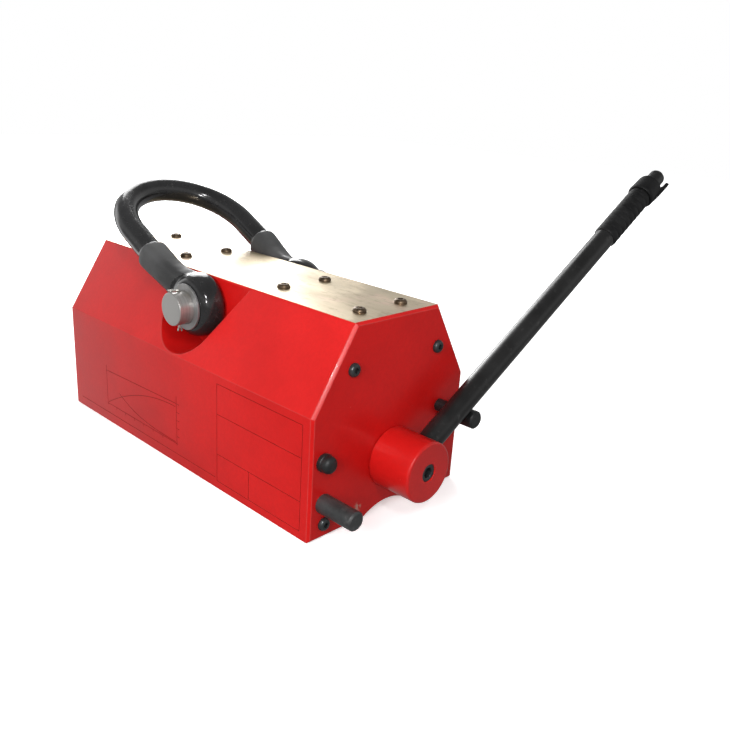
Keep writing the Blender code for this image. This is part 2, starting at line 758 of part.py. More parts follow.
def build_shackle(swinging):
    """Forged bow with an eye at the end of each leg, in one piece."""
    lean = Matrix.Rotation(BOW_REST - pi / 2, 4, "Y")
    path = [(-BOW_HALF_WIDTH, BLOCK_LENGTH - 6.0 * MM)]
    steps = 20
    for i in range(steps + 1):
        angle = pi - pi * i / steps
        path.append((BOW_HALF_WIDTH * cos(angle), BOW_CENTRE + BOW_HALF_WIDTH * sin(angle)))
    path.append((BOW_HALF_WIDTH, BLOCK_LENGTH - 6.0 * MM))
    bow = add("shackle", swept_rod("shackle", path, BOW_ROD, 16), "gloss", swinging, lean)
    for side in (-1, 1):
        block = cutter(f"leg block {side}", leg_block(side), swinging, lean)
        union(bow, block)
        ends = sorted((side * EYE_INNER, side * EYE_OUTER))
        profile = rod_profile(*ends, EYE_RADIUS, 2.5 * MM)
        eye = cutter(f"eye {side}", turned("eye", profile, 36), swinging, facing((0, 1, 0), (0, 0, 0)))
        union(bow, eye)
    hole = joined_cylinders("eye bore", [(0, 0)], PIN_RADIUS + GAP, -WIDTH, WIDTH, 48)
    cut(bow, cutter("eye bore cutter", hole, swinging, facing((0, 1, 0), (0, 0, 0))))


def union(target, piece):
    boolean = target.modifiers.new("join " + piece.name, "BOOLEAN")
    boolean.operation = "UNION"
    boolean.solver = "EXACT"
    boolean.object = piece


def swept_rod(name, path, radius, steps):
    """Round rod swept along a path of (y, z) points in the YZ plane."""
    bm = bmesh.new()
    rings = []
    for i, here in enumerate(path):
        before = Vector(path[max(i - 1, 0)])
        after = Vector(path[min(i + 1, len(path) - 1)])
        tangent = (after - before).normalized()
        side = Vector((0, -tangent.y, tangent.x))
        ring = []
        for step in range(steps):
            angle = 2 * pi * step / steps
            offset = side * cos(angle) * radius + Vector((sin(angle) * radius, 0, 0))
            ring.append(bm.verts.new(Vector((0, *here)) + offset))
        rings.append(ring)
    for low, high in zip(rings, rings[1:]):
        join_rings(bm, low, high)
    bm.faces.new(rings[0])
    bm.faces.new(rings[-1])
    return to_mesh(bm, name)


def leg_block(side):
    """Tapered forged block between an eye and the bow's rod."""
    inner = EYE_INNER + 4.5 * MM
    outer = EYE_OUTER - 1.0 * MM
    middle = BOW_HALF_WIDTH
    low_half = BLOCK_HALF_HEIGHT
    high_half = BLOCK_TIP_HALF_HEIGHT
    bm = bmesh.new()
    rings = []
    sections = (
        (BLOCK_SINK, (inner + outer) / 2, (outer - inner) / 2, low_half),
        (BLOCK_LENGTH - 4.0 * MM, middle, BOW_ROD + 1.0 * MM, high_half),
        (BLOCK_LENGTH, middle, BOW_ROD, high_half - 1.5 * MM),
    )
    steps = 24
    for reach, centre, half_width, half_height in sections:
        ring = []
        for step in range(steps):
            angle = 2 * pi * step / steps
            across = half_width * rounded(cos(angle))
            height = half_height * rounded(sin(angle))
            ring.append(bm.verts.new((height, side * (centre + across), reach)))
        rings.append(ring)
    for low, high in zip(rings, rings[1:]):
        join_rings(bm, low, high)
    bm.faces.new(rings[0])
    bm.faces.new(rings[-1])
    return to_mesh(bm, f"leg block {side}")


def rounded(value):
    """Squares off a circle towards a rectangle with large corner radii."""
    power = 0.55
    return abs(value) ** power * (1 if value >= 0 else -1)


def build_pin(root):
    """Cross pin with a washer and a cotter at each end."""
    profile = rod_profile(-PIN_HALF_LENGTH, PIN_HALF_LENGTH, PIN_RADIUS, 1.2 * MM)
    place = facing((0, 1, 0), (0, 0, PIN_Z))
    pin = add("shackle_pin", turned("shackle_pin", profile, 48), "bright", root, place)
    for name, side in (("front", -1), ("rear", 1)):
        start = EYE_OUTER + GAP
        profile = sleeve_profile(
            start, start + WASHER_THICKNESS, PIN_RADIUS + GAP, WASHER_RADIUS, 0.5 * MM
        )
        out = facing((0, side, 0), (0, 0, PIN_Z))
        add(f"washer_{name}", turned_ring(f"washer_{name}", profile, 32), "bright", root, out)
        across = Matrix.Translation((0, side * COTTER_Y, PIN_Z))
        reach = PIN_RADIUS * 2
        hole = joined_cylinders(f"cotter hole {name}", [(0, 0)], COTTER_RADIUS + GAP, -reach, reach, 16)
        cut(pin, cutter(f"cotter hole {name} cutter", hole, root, across))
        tail = PIN_RADIUS + COTTER_TAIL
        neck = PIN_RADIUS + 1.0 * MM
        profile = [
            (-tail, 0),
            (-tail, COTTER_RADIUS * 0.6),
            (-tail + 2.0 * MM, COTTER_RADIUS),
            (neck, COTTER_RADIUS),
            (neck + 1.4 * MM, COTTER_HEAD * 0.75),
            (neck + 3.6 * MM, COTTER_HEAD),
            (neck + 5.8 * MM, COTTER_HEAD * 0.75),
            (neck + 7.2 * MM, 0),
        ]
        mesh = turned(f"cotter_{name}", profile, 16)
        add(f"cotter_{name}", mesh, "bright", root, across)


# Screws and assembly ------------------------------------------------------------------------

def button_screw(name):
    """Button-head screw with a hexagon socket, its head standing on z = 0."""
    dome = [
        (SCREW_HEAD_HEIGHT * sin(a), SCREW_SOCKET * 1.5 + (SCREW_HEAD - SCREW_SOCKET * 1.5) * cos(a))
        for a in (radians(15), radians(50), radians(90))
    ]
    profile = [
        (-SCREW_LENGTH, 0),
        (-SCREW_LENGTH, SCREW_SHANK),
        (0, SCREW_SHANK),
        (0, SCREW_HEAD),
        *dome,
        (SCREW_HEAD_HEIGHT, SCREW_SOCKET),
        (SCREW_HEAD_HEIGHT - SCREW_SOCKET_DEPTH, SCREW_SOCKET),
        (SCREW_HEAD_HEIGHT - SCREW_SOCKET_DEPTH, 0),
    ]
    return turned(name, profile, 12, hexagons=(7, 8))


LEVER_WAY = (0.0, cos(LEVER_REST), sin(LEVER_REST))

clear_scene()
MATERIALS = {
    "paint": material("red paint", (0.55, 0.02, 0.02), 0.35),
    "gold": material("lacquered top plate", (0.62, 0.52, 0.36), 0.35, 0.8),
    "steel": material("machined steel", (0.42, 0.42, 0.43), 0.4, 1.0),
    "bright": material("bright steel", (0.5, 0.49, 0.47), 0.3, 1.0),
    "brass": material("brass", (0.62, 0.45, 0.2), 0.35, 1.0),
    "magnet": material("coated magnet", (0.3, 0.31, 0.33), 0.45, 0.9),
    "gloss": material("gloss black", (0.02, 0.02, 0.022), 0.2),
    "black": material("black tube", (0.025, 0.025, 0.026), 0.4),
    "dark": material("blackened steel", (0.05, 0.052, 0.055), 0.45, 0.8),
    "bronze": material("aged screw", (0.16, 0.1, 0.06), 0.5, 0.8),
    "rubber": material("black rubber", (0.02, 0.02, 0.02), 0.7),
    "tool": material("cutter", (1.0, 0.4, 0.0), 0.5),
}
SCREW_MESH = button_screw("button_screw")

X_REACH = (-(HALF + GAP + SCREW_HEAD_HEIGHT), HALF + HUB_LENGTH)
Y_REACH = (-WIDTH / 2, BUTTON_TIP * cos(LEVER_REST))
MIDDLE = (sum(X_REACH) / 2, sum(Y_REACH) / 2)

root_empty = empty("magnet_root", (-MIDDLE[0], -MIDDLE[1], 0))
lever_axis = empty("lever_axis", (0, 0, AXIS_Z), root_empty)
shackle_axis = empty("shackle_axis", (0, 0, PIN_Z), root_empty)

pin_cutter, pocket_cutters = build_poles(root_empty)
build_middle(root_empty, pin_cutter)
build_covers(root_empty, pocket_cutters)
build_stops(root_empty)
build_rotor(lever_axis)
build_bushes(root_empty)
build_hub(lever_axis)
lever_place = build_lever(lever_axis)
build_key(lever_axis, lever_place)
build_shackle(shackle_axis)
build_pin(root_empty)
bpy.context.view_layer.update()
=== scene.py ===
"""Looks of the lifting magnet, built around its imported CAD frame.

Everything is modelled in body coordinates, in metres: the origin is the middle of the body on
the plane of its pole faces, +X points to the lever end and +Z up.
"""

from math import asin, cos, hypot, pi, radians, sin, sqrt

import bmesh
import bpy
from mathutils import Matrix, Vector


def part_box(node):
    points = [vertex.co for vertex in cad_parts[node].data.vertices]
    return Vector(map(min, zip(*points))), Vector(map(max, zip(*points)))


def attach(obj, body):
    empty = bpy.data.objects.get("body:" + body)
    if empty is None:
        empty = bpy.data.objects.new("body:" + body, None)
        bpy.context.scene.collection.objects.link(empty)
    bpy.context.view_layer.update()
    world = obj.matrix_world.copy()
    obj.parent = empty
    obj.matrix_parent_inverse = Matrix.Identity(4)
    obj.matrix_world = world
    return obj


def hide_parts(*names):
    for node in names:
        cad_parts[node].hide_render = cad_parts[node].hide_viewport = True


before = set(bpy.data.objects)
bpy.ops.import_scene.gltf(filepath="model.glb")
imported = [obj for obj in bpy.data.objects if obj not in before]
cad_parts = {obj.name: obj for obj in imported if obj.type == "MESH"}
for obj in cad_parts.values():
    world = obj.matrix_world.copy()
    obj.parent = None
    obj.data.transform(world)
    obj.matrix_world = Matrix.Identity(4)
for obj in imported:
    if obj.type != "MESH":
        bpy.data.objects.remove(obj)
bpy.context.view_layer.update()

MM = 0.001
spacer_low, spacer_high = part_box("pole_spacer")
ORIGIN = Vector(((spacer_low.x + spacer_high.x) / 2, (spacer_low.y + spacer_high.y) / 2, 0))
TO_WORLD = Matrix.Translation(ORIGIN)


def body_box(node):
    """A CAD node's lowest and highest corner in body coordinates."""
    low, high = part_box(node)
    return low - ORIGIN, high - ORIGIN


# Main sizes, read from the frame where it holds them. GRIP_START and COLLAR_START are in mm.
plate_low, plate_high = body_box("drive_end_plate")
HALF = plate_high.x
PLATE_INNER = plate_low.x
HALF_WIDTH = plate_high.y
HEIGHT = plate_high.z
DECK_Z = body_box("top_cover_plate")[0].z
WALL_HEIGHT = 124.8 * MM
TOP_HALF = 57.25 * MM
SLOPE = (HALF_WIDTH - TOP_HALF) / (HEIGHT - WALL_HEIGHT)
END_CHAMFER = 2.8 * MM
ARCH_HALF_WIDTH = 32.0 * MM
ARCH_HEIGHT = 9.0 * MM
CORE_HALF = 20.3 * MM
SPACER_HALF = 12.3 * MM
hub_low, hub_high = body_box("lever_hub")
AXIS_Z = (hub_low.z + hub_high.z) / 2
HUB_END = hub_high.x
HUB_START = hub_low.x
HUB_RADIUS = (hub_high.y - hub_low.y) / 2
ROTOR_BORE = 42.6 * MM
BUSH_BORE = 22.3 * MM
LEVER_X = HALF + 25.0 * MM
LEVER_REST = radians(30.55)
LEVER_WAY = Vector((0, cos(LEVER_REST), sin(LEVER_REST)))
LEVER_RADIUS = 12.0 * MM
LEVER_START = 17.5 * MM
LEVER_BORE = 6.5 * MM
LEVER_NECK = 10.5 * MM
LEVER_SHOULDER = 377.7 * MM
LEVER_END = 478.0 * MM
KEY_SLOT = 71.5 * MM
LEVER_ACROSS = LEVER_WAY.cross(Vector((1, 0, 0)))
LEVER_FRAME = Matrix((Vector((1, 0, 0)), LEVER_ACROSS, LEVER_WAY)).transposed().to_4x4()
LEVER_FRAME.translation = (LEVER_X, 0, AXIS_Z)
GRIP_START = 378.0
COLLAR_START = 464.2
BUTTON_BASE = 489.0 * MM
BUTTON_TIP = 512.5 * MM
BUTTON_RADIUS = 9.8 * MM
BUTTON_ROUNDING = 5.5 * MM
pin_low, pin_high = body_box("shackle_pin")
PIN_Z = (pin_low.z + pin_high.z) / 2
PIN_RADIUS = (pin_high.z - pin_low.z) / 2
PIN_END = pin_high.y
BOW_REST = radians(27.0)
SCREW_HEAD = 6.7 * MM


# Geometry helpers ---------------------------------------------------------------------------

def fillet(points, radius, steps=3, closed=False):
    """Rounds the corners of a flat outline. radius is one length, or a dict by point index."""
    count = len(points)
    result = []
    for i, point in enumerate(points):
        here = Vector(point)
        size = radius.get(i, 0) if isinstance(radius, dict) else radius
        if size == 0 or (not closed and i in (0, count - 1)):
            result.append(tuple(here))
            continue
        back = Vector(points[i - 1]) - here
        ahead = Vector(points[(i + 1) % count]) - here
        turn = pi - back.angle(ahead)
        reach = min(size * abs(sin(turn / 2) / cos(turn / 2)), 0.45 * back.length, 0.45 * ahead.length)
        start = here + back.normalized() * reach
        end = here + ahead.normalized() * reach
        for step in range(steps + 1):
            t = step / steps
            result.append(tuple(start * (1 - t) ** 2 + here * 2 * t * (1 - t) + end * t**2))
    return result


def to_mesh(bm, name):
    bmesh.ops.recalc_face_normals(bm, faces=bm.faces)
    mesh = bpy.data.meshes.new(name)
    bm.to_mesh(mesh)
    bm.free()
    return mesh


def bridge(bm, low, high, index=0):
    """Faces between two rings, either of which may be one point."""
    steps = max(len(low), len(high))
    for step in range(steps):
        after = (step + 1) % steps
        if len(low) == 1:
            face = bm.faces.new((low[0], high[after], high[step]))
        elif len(high) == 1:
            face = bm.faces.new((low[step], low[after], high[0]))
        else:
            face = bm.faces.new((low[step], low[after], high[after], high[step]))
        face.material_index = index


def skin(bm, rings, bands=None):
    """Faces along a row of rings and over both ends; bands gives a material index per band."""
    for number, (low, high) in enumerate(zip(rings, rings[1:])):
        bridge(bm, low, high, bands[number] if bands else 0)
    bm.faces.new(rings[0])
    bm.faces.new(rings[-1])


def loft(name, axis, sections, bands=None):
    """Closed solid through flat sections given as (reach, outline)."""
    bm = bmesh.new()
    rings = []
    for reach, outline in sections:
        if axis == "X":
            rings.append([bm.verts.new((reach, a, b)) for a, b in outline])
        else:
            rings.append([bm.verts.new((a, reach, b)) for a, b in outline])
    skin(bm, rings, bands)
    return to_mesh(bm, name)


def turned(name, profile, steps=64, hexagons=(), closed=False):
    """Turns (reach, radius) points about +Z. A closed profile makes a ring.

    Points listed in hexagons take a hexagon's outline.
    """
    bm = bmesh.new()
    rings = []
    for index, (reach, radius) in enumerate(profile):
        if radius == 0:
            rings.append([bm.verts.new((0, 0, reach))])
            continue
        ring = []
        for step in range(steps):
            angle = 2 * pi * step / steps
            local = radius
            if index in hexagons:
                local = radius / cos(angle % (pi / 3) - pi / 6)
            ring.append(bm.verts.new((local * cos(angle), local * sin(angle), reach)))
        rings.append(ring)
    pairs = list(zip(rings, rings[1:]))
    if closed:
        pairs.append((rings[-1], rings[0]))
    for low, high in pairs:
        bridge(bm, low, high)
    return to_mesh(bm, name)


def tube(name, path, radius, sides=12):
    """Round wire along a path of 3-D points, with closed ends."""
    bm = bmesh.new()
    points = [Vector(p) for p in path]
    tangents = []
    for i in range(len(points)):
        tangents.append((points[min(i + 1, len(points) - 1)] - points[max(i - 1, 0)]).normalized())
    out = tangents[0].orthogonal().normalized()
    rings = []
    for here, tangent in zip(points, tangents):
        out = (out - tangent * out.dot(tangent)).normalized()
        across = tangent.cross(out)
        ring = []
        for side in range(sides):
            turn = 2 * pi * side / sides
            ring.append(bm.verts.new(here + (out * cos(turn) + across * sin(turn)) * radius))
        rings.append(ring)
    skin(bm, rings)
    return to_mesh(bm, name)


def facing(direction, place):
    """Matrix that turns +Z to a direction and moves the origin to a place."""
    turn = Vector(direction).to_track_quat("Z", "Y").to_matrix().to_4x4()
    return Matrix.Translation(place) @ turn


def holder(mesh, matrix=None):
    """A temporary object for modifiers."""
    made = bpy.data.objects.new("work", mesh)
    if matrix is not None:
        made.matrix_world = matrix
    bpy.context.scene.collection.objects.link(made)
    return made


def combine(mesh, tools, operation="DIFFERENCE", after=()):
    """Mesh with (mesh, matrix) tools cut from it or joined to it, then more modifiers applied."""
    target = holder(mesh)
    others = []
    for tool, matrix in tools:
        others.append(holder(tool, matrix))
        boolean = target.modifiers.new("boolean", "BOOLEAN")
        boolean.operation = operation
        boolean.solver = "EXACT"
        boolean.use_self = "self" in tool.name
        boolean.material_mode = "TRANSFER"
        boolean.object = others[-1]
    for kind, settings in after:
        modifier = target.modifiers.new(kind, kind)
        for key, value in settings.items():
            setattr(modifier, key, value)
    bpy.context.view_layer.update()
    ready = target.evaluated_get(bpy.context.evaluated_depsgraph_get())
    result = bpy.data.meshes.new_from_object(ready)
    for used in (target, *others):
        bpy.data.objects.remove(used)
    return result


def bevel_where(mesh, chosen, width, index, segments=3):
    """Rounds the sharp edges whose middle passes a test, and gives the new faces a material."""
    bm = bmesh.new()
    bm.from_mesh(mesh)
    edges = []
    for edge in bm.edges:
        middle = (edge.verts[0].co + edge.verts[1].co) / 2
        sharp = len(edge.link_faces) == 2 and edge.calc_face_angle(0) > radians(25)
        if sharp and chosen(middle):
            edges.append(edge)
    bmesh.ops.bevel(
        bm,
        geom=edges,
        offset=width,
        offset_type="OFFSET",
        segments=segments,
        profile=0.5,
        affect="EDGES",
        clamp_overlap=True,
        material=index,
    )
    bm.to_mesh(mesh)
    bm.free()
    return mesh


def coated(mesh, *looks):
    """A mesh given its looks. As a cutter, it leaves its own look on the faces that it cuts."""
    for look in looks:
        mesh.materials.append(LOOKS[look])
    return mesh


def show(name, mesh, looks, body, nodes, matrix=None):
    """Links a piece in place, rides it on its body and hides the CAD nodes that it stands for."""
    mesh.transform(TO_WORLD @ (matrix or Matrix.Identity(4)))
    if not mesh.materials:
        coated(mesh, *looks)
    mesh.shade_smooth()
    mesh.set_sharp_from_angle(angle=radians(38))
    made = bpy.data.objects.new(name, mesh)
    bpy.context.scene.collection.objects.link(made)
    weighted = made.modifiers.new("flat faces", "WEIGHTED_NORMAL")
    weighted.weight = 100
    weighted.keep_sharp = True
    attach(made, body)
    if nodes:
        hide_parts(*nodes)
    return made


# Materials ----------------------------------------------------------------------------------

class Look:
    """A Principled material with short calls for its nodes."""

    def __init__(self, name, metallic=0.0, specular=0.5, coat=0.0, coat_roughness=0.1):
        self.material = bpy.data.materials.new(name)
        self.material.use_nodes = True
        self.tree = self.material.node_tree
        self.shader = self.tree.nodes["Principled BSDF"]
        self.shader.inputs["Metallic"].default_value = metallic
        self.shader.inputs["Specular IOR Level"].default_value = specular
        self.shader.inputs["Coat Weight"].default_value = coat
        self.shader.inputs["Coat Roughness"].default_value = coat_roughness
        self.place = self.tree.nodes.new("ShaderNodeTexCoord").outputs["Object"]

    def node(self, kind, settings=None, **inputs):
        made = self.tree.nodes.new("ShaderNode" + kind)
        for key, value in (settings or {}).items():
            setattr(made, key, value)
        for key, value in inputs.items():
            number = key[1:]
            socket = made.inputs[int(number) if number.isdigit() else key.replace("_", " ")]
            if isinstance(value, bpy.types.NodeSocket):
                self.tree.links.new(value, socket)
            else:
                socket.default_value = value
        return made

    def stretched(self, scale, shift=(0, 0, 0)):
        return self.node("Mapping", _0=self.place, _1=shift, _3=scale).outputs[0]

    def noise(self, scale, detail=3.0, roughness=0.55, vector=None, distortion=0.0):
        amounts = {"Scale": scale, "Detail": detail, "Roughness": roughness, "Distortion": distortion}
        made = self.node("TexNoise", **amounts)
        self.tree.links.new(vector or self.place, made.inputs["Vector"])
        return made.outputs[0]

    def ramp(self, value, low, high, start=0.0, end=1.0):
        """A value remapped from [low, high] to [start, end], clamped."""
        smooth = {"interpolation_type": "SMOOTHSTEP"}
        return self.node("MapRange", smooth, _0=value, _1=low, _2=high, _3=start, _4=end).outputs[0]

    def maths(self, operation, a, b=0.0):
        return self.node("Math", {"operation": operation}, _0=a, _1=b).outputs[0]

    def mix(self, factor, first, second):
        made = self.node("Mix", {"data_type": "RGBA"})
        for index, value in ((0, factor), (6, first), (7, second)):
            socket = made.inputs[index]
            if isinstance(value, bpy.types.NodeSocket):
                self.tree.links.new(value, socket)
            else:
                socket.default_value = (*value, 1.0) if isinstance(value, tuple) else value
        return made.outputs[2]

    def near(self, point, radius, fade):
        """One inside a ball about a body point, falling to zero over a distance."""
        centre = Vector(point) + ORIGIN
        there = self.node("VectorMath", {"operation": "DISTANCE"}, _0=self.place, _1=centre)
        return self.ramp(there.outputs["Value"], radius, radius + fade, 1.0, 0.0)

    def round_distance(self, point, axis):
        """Distance from an axis-parallel line through a body point."""
        centre = Vector(point) + ORIGIN
        away = self.node("VectorMath", {"operation": "SUBTRACT"}, _0=self.place, _1=centre)
        keep = Vector([0 if axis == letter else 1 for letter in "XYZ"])
        flat = self.node("VectorMath", {"operation": "MULTIPLY"}, _0=away.outputs[0], _1=keep)
        return self.node("VectorMath", {"operation": "LENGTH"}, _0=flat.outputs[0]).outputs["Value"]

    def finish(self, colour, roughness, *bumps):
        """Links colour and roughness, then height maps given as (height, strength, distance)."""
        self.tree.links.new(colour, self.shader.inputs["Base Color"])
        self.tree.links.new(roughness, self.shader.inputs["Roughness"])
        normal = None
        for height, strength, distance in bumps:
            bump = self.node("Bump", Height=height, Strength=strength, Distance=distance)
            if normal:
                self.tree.links.new(normal, bump.inputs["Normal"])
            normal = bump.outputs[0]
        if normal:
            self.tree.links.new(normal, self.shader.inputs["Normal"])
        return self.material


def scaled(colour, factor):
    return tuple(min(1, c * factor) for c in colour)


def paint(name, base, wear, gloss=0.3, spots=(), coat=0.06):
    """Enamel with orange peel, cloudy tone, fine specks and scuffs near given points."""
    look = Look(name, specular=0.22, coat=coat, coat_roughness=0.07)
    cloud = look.noise(9.0, 4.0)
    fine = look.noise(70.0, 3.0)
    dark = scaled(base, 0.8)
    light = tuple(min(1.0, c * 1.12 + 0.002) for c in base)
    tone = look.mix(look.ramp(cloud, 0.2, 0.8), dark, light)
    tone = look.mix(look.ramp(fine, 0.25, 0.8, 0.0, 0.2), tone, light)
    grain = look.ramp(look.noise(260.0, 3.0, 0.7), 0.25, 0.75, 0.0, 0.3)
    tone = look.mix(grain, tone, scaled(base, 0.72))
    speck = look.ramp(look.noise(420.0, 2.0, 0.6), 0.78 - 0.2 * wear, 0.82 - 0.2 * wear, 0.0, 0.45)
    tone = look.mix(speck, tone, (0.72, 0.33, 0.30))
    roughness = look.ramp(cloud, 0.2, 0.8, gloss * 0.97, gloss * 1.25)
    for point, radius, fade in spots:
        scratches = look.ramp(look.noise(240.0, 4.0, 0.7), 0.46, 0.6)
        patch = look.maths("MULTIPLY", look.near(point, radius, fade), scratches)
        tone = look.mix(patch, tone, (0.44, 0.22, 0.18))
        roughness = look.maths("ADD", roughness, look.maths("MULTIPLY", patch, 0.3))
    peel = look.noise(620.0, 1.0, 0.4)
    return look.finish(tone, roughness, (peel, 0.14, 0.0004))


def metal(
    name,
    base,
    roughness,
    metallic=1.0,
    cloud_scale=40.0,
    grain=700.0,
    bump=0.12,
    stain=None,
    specular=0.5,
):
    """Machined or blackened metal with a cloudy tone, a fine grain and an optional stain colour."""
    look = Look(name, metallic=metallic, specular=specular)
    cloud = look.noise(cloud_scale, 4.0)
    fine = look.noise(grain, 2.0)
    tone = look.mix(look.ramp(cloud, 0.3, 0.7), scaled(base, 0.72), scaled(base, 1.25))
    if stain:
        stains = look.noise(cloud_scale * 2.3, 5.0, 0.65)
        tone = look.mix(look.ramp(stains, 0.52, 0.7, 0.0, 0.8), tone, stain)
    rough = look.ramp(cloud, 0.3, 0.7, roughness * 0.9, roughness * 1.3)
    rough = look.maths("ADD", rough, look.ramp(fine, 0.3, 0.7, -0.04, 0.05))
    return look.finish(tone, rough, (fine, bump, 0.0002))


def lathe_metal(name, base, roughness, point, axis, metallic=1.0):
    """Bright metal with turning marks round an axis."""
    look = Look(name, metallic=metallic)
    distance = look.round_distance(point, axis)
    ring = look.node("CombineXYZ", _0=distance).outputs[0]
    marks = look.noise(2600.0, 2.0, 0.6, ring)
    length = Vector([900.0 if axis == letter else 6.0 for letter in "XYZ"])
    along = look.noise(1.0, 3.0, 0.6, look.stretched(length))
    both = look.maths("MULTIPLY", look.maths("ADD", marks, along), 0.5)
    cloud = look.noise(60.0, 4.0)
    tone = look.mix(look.ramp(both, 0.35, 0.65), scaled(base, 0.75), scaled(base, 1.2))
    dull = tuple(c * factor for c, factor in zip(base, (0.62, 0.54, 0.44)))
    tone = look.mix(look.ramp(cloud, 0.5, 0.75, 0.0, 0.5), tone, dull)
    rough = look.ramp(both, 0.3, 0.7, roughness * 0.75, roughness * 1.3)
    return look.finish(tone, rough, (both, 0.25, 0.0002))


def gold_plate():
    """Champagne plate: brushed along its length, cloudy, with pink smudges and fine specks."""
    look = Look("brushed champagne plate", metallic=0.85, specular=0.5)
    brushing = look.noise(1.0, 4.0, 0.65, look.stretched((14.0, 900.0, 1.0)))
    cloud = look.noise(7.0, 5.0, 0.6, look.stretched((1.0, 2.2, 1.0)), 1.2)
    stain = look.noise(16.0, 5.0, 0.7, look.stretched((1.0, 1.7, 1.0), (3.1, 1.7, 0.0)), 0.8)
    speck = look.ramp(look.noise(300.0, 3.0, 0.7), 0.66, 0.72, 0.0, 0.5)
    tone = look.mix(look.ramp(cloud, 0.3, 0.72), (0.35, 0.27, 0.155), (0.55, 0.45, 0.30))
    tone = look.mix(look.ramp(stain, 0.52, 0.70, 0.0, 0.55), tone, (0.58, 0.36, 0.29))
    tone = look.mix(look.ramp(brushing, 0.3, 0.7, 0.0, 0.25), tone, (0.74, 0.69, 0.56))
    tone = look.mix(speck, tone, (0.30, 0.22, 0.13))
    marks = look.noise(110.0, 5.0, 0.7, look.stretched((0.55, 1.5, 1.0)))
    tone = look.mix(look.ramp(marks, 0.5, 0.66, 0.0, 0.5), tone, (0.24, 0.18, 0.10))
    rough = look.ramp(cloud, 0.3, 0.7, 0.29, 0.37)
    rough = look.maths("ADD", rough, look.ramp(brushing, 0.3, 0.7, 0.0, 0.06))
    bumps = ((brushing, 0.12, 0.0002), (cloud, 0.10, 0.002), (marks, 0.15, 0.0006))
    return look.finish(tone, rough, *bumps)


def black_enamel(name, base, roughness, coat, lumps, grain=300.0):
    """Black gloss on a forging: soft lumps, a fine grain and dusty patches."""
    look = Look(name, specular=0.42, coat=coat, coat_roughness=0.08)
    cloud = look.noise(22.0, 4.0)
    fine = look.noise(grain, 3.0, 0.6)
    tone = look.mix(look.ramp(cloud, 0.3, 0.7), scaled(base, 0.7), scaled(base, 1.5))
    dust = look.ramp(look.noise(130.0, 5.0, 0.7), 0.56, 0.72, 0.0, 0.35)
    tone = look.mix(dust, tone, (0.07, 0.068, 0.066))
    rough = look.ramp(cloud, 0.3, 0.7, roughness * 0.95, roughness * 1.35)
    rough = look.maths("ADD", rough, look.maths("MULTIPLY", dust, 0.25))
    return look.finish(tone, rough, (look.noise(55.0, 3.0), lumps, 0.0012), (fine, 0.10, 0.0002))


def rubber():
    look = Look("black rubber", specular=0.2)
    cloud = look.noise(45.0, 4.0)
    fine = look.noise(900.0, 2.0)
    tone = look.mix(look.ramp(cloud, 0.3, 0.7), (0.006, 0.006, 0.0065), (0.013, 0.013, 0.0135))
    scuff = look.ramp(look.noise(190.0, 5.0, 0.72), 0.6, 0.75, 0.0, 0.4)
    tone = look.mix(scuff, tone, (0.045, 0.045, 0.045))
    rough = look.ramp(cloud, 0.3, 0.7, 0.48, 0.66)
    return look.finish(tone, rough, (fine, 0.3, 0.0003), (cloud, 0.2, 0.001))


RED = (0.56, 0.0058, 0.0052)
STOP_SCUFFS = (
    ((HALF, -42.5 * MM, 16.5 * MM), 1.5 * MM, 6.0 * MM),
)
LOOKS = {
    "red": paint("red enamel", RED, 0.0, 0.3, STOP_SCUFFS),
    # The edge look is a paler, less saturated red: a painted highlight along rounded edges and
    # chamfers, with a little more wear in its specks.
    "red_edge_highlight_and_wear": paint("red enamel with painted edge highlight", (0.52, 0.032, 0.029), 0.35, 0.46, (), 0.0),
    "red_hub": paint("red enamel on hub", (0.54, 0.0075, 0.0065), 0.0, 0.3, (), 0.4),
    "etched": paint("etched line", (0.24, 0.012, 0.008), 0.0, 0.6),
    "gold": gold_plate(),
    "forged_block": black_enamel("satin black forging", (0.048, 0.048, 0.0485), 0.42, 0.0, 0.25),
    "forged": black_enamel("gloss black forging", (0.013, 0.013, 0.0135), 0.15, 0.3, 0.3),
    "lever": black_enamel("black lever enamel", (0.009, 0.009, 0.009), 0.30, 0.05, 0.08),
    "dark": metal(
        "blackened steel", (0.070, 0.072, 0.073), 0.38, 0.6, 50.0, 500.0, 0.2, (0.13, 0.13, 0.127)
    ),
    "dark_key": metal(
        "blued key steel", (0.013, 0.0135, 0.014), 0.36, 0.2, 50.0, 500.0, 0.2,
        (0.024, 0.024, 0.023), 0.4
    ),
    "oxide": metal("black oxide screw", (0.045, 0.05, 0.052), 0.30, 0.6, 120.0, 900.0, 0.1),
    "bronze": metal(
        "aged bronze screw", (0.13, 0.092, 0.060), 0.38, 0.9, 160.0, 900.0, 0.15, (0.075, 0.045, 0.024)
    ),
    "pin": lathe_metal("turned pin", (0.40, 0.39, 0.375), 0.34, (0, 0, PIN_Z), "Y", 0.7),
    "washer": lathe_metal("zinc washer", (0.34, 0.34, 0.34), 0.36, (0, 0, PIN_Z), "Y", 0.7),
    "wire": metal(
        "bright wire", (0.62, 0.60, 0.56), 0.22, 1.0, 200.0, 1500.0, 0.1, (0.42, 0.33, 0.18)
    ),
    "steel": metal(
        "machined steel", (0.34, 0.34, 0.35), 0.38, 1.0, 30.0, 800.0, 0.15, (0.20, 0.17, 0.14)
    ),
    "brass": metal(
        "bearing brass", (0.60, 0.43, 0.18), 0.34, 1.0, 50.0, 700.0, 0.15, (0.33, 0.21, 0.09)
    ),
    "magnet": metal(
        "coated magnet", (0.27, 0.28, 0.30), 0.44, 0.9, 60.0, 500.0, 0.2, (0.15, 0.15, 0.16)
    ),
    "rubber": rubber(),
}


# Body ---------------------------------------------------------------------------------------

ARCH_CURVE = (ARCH_HALF_WIDTH**2 + ARCH_HEIGHT**2) / (2 * ARCH_HEIGHT)


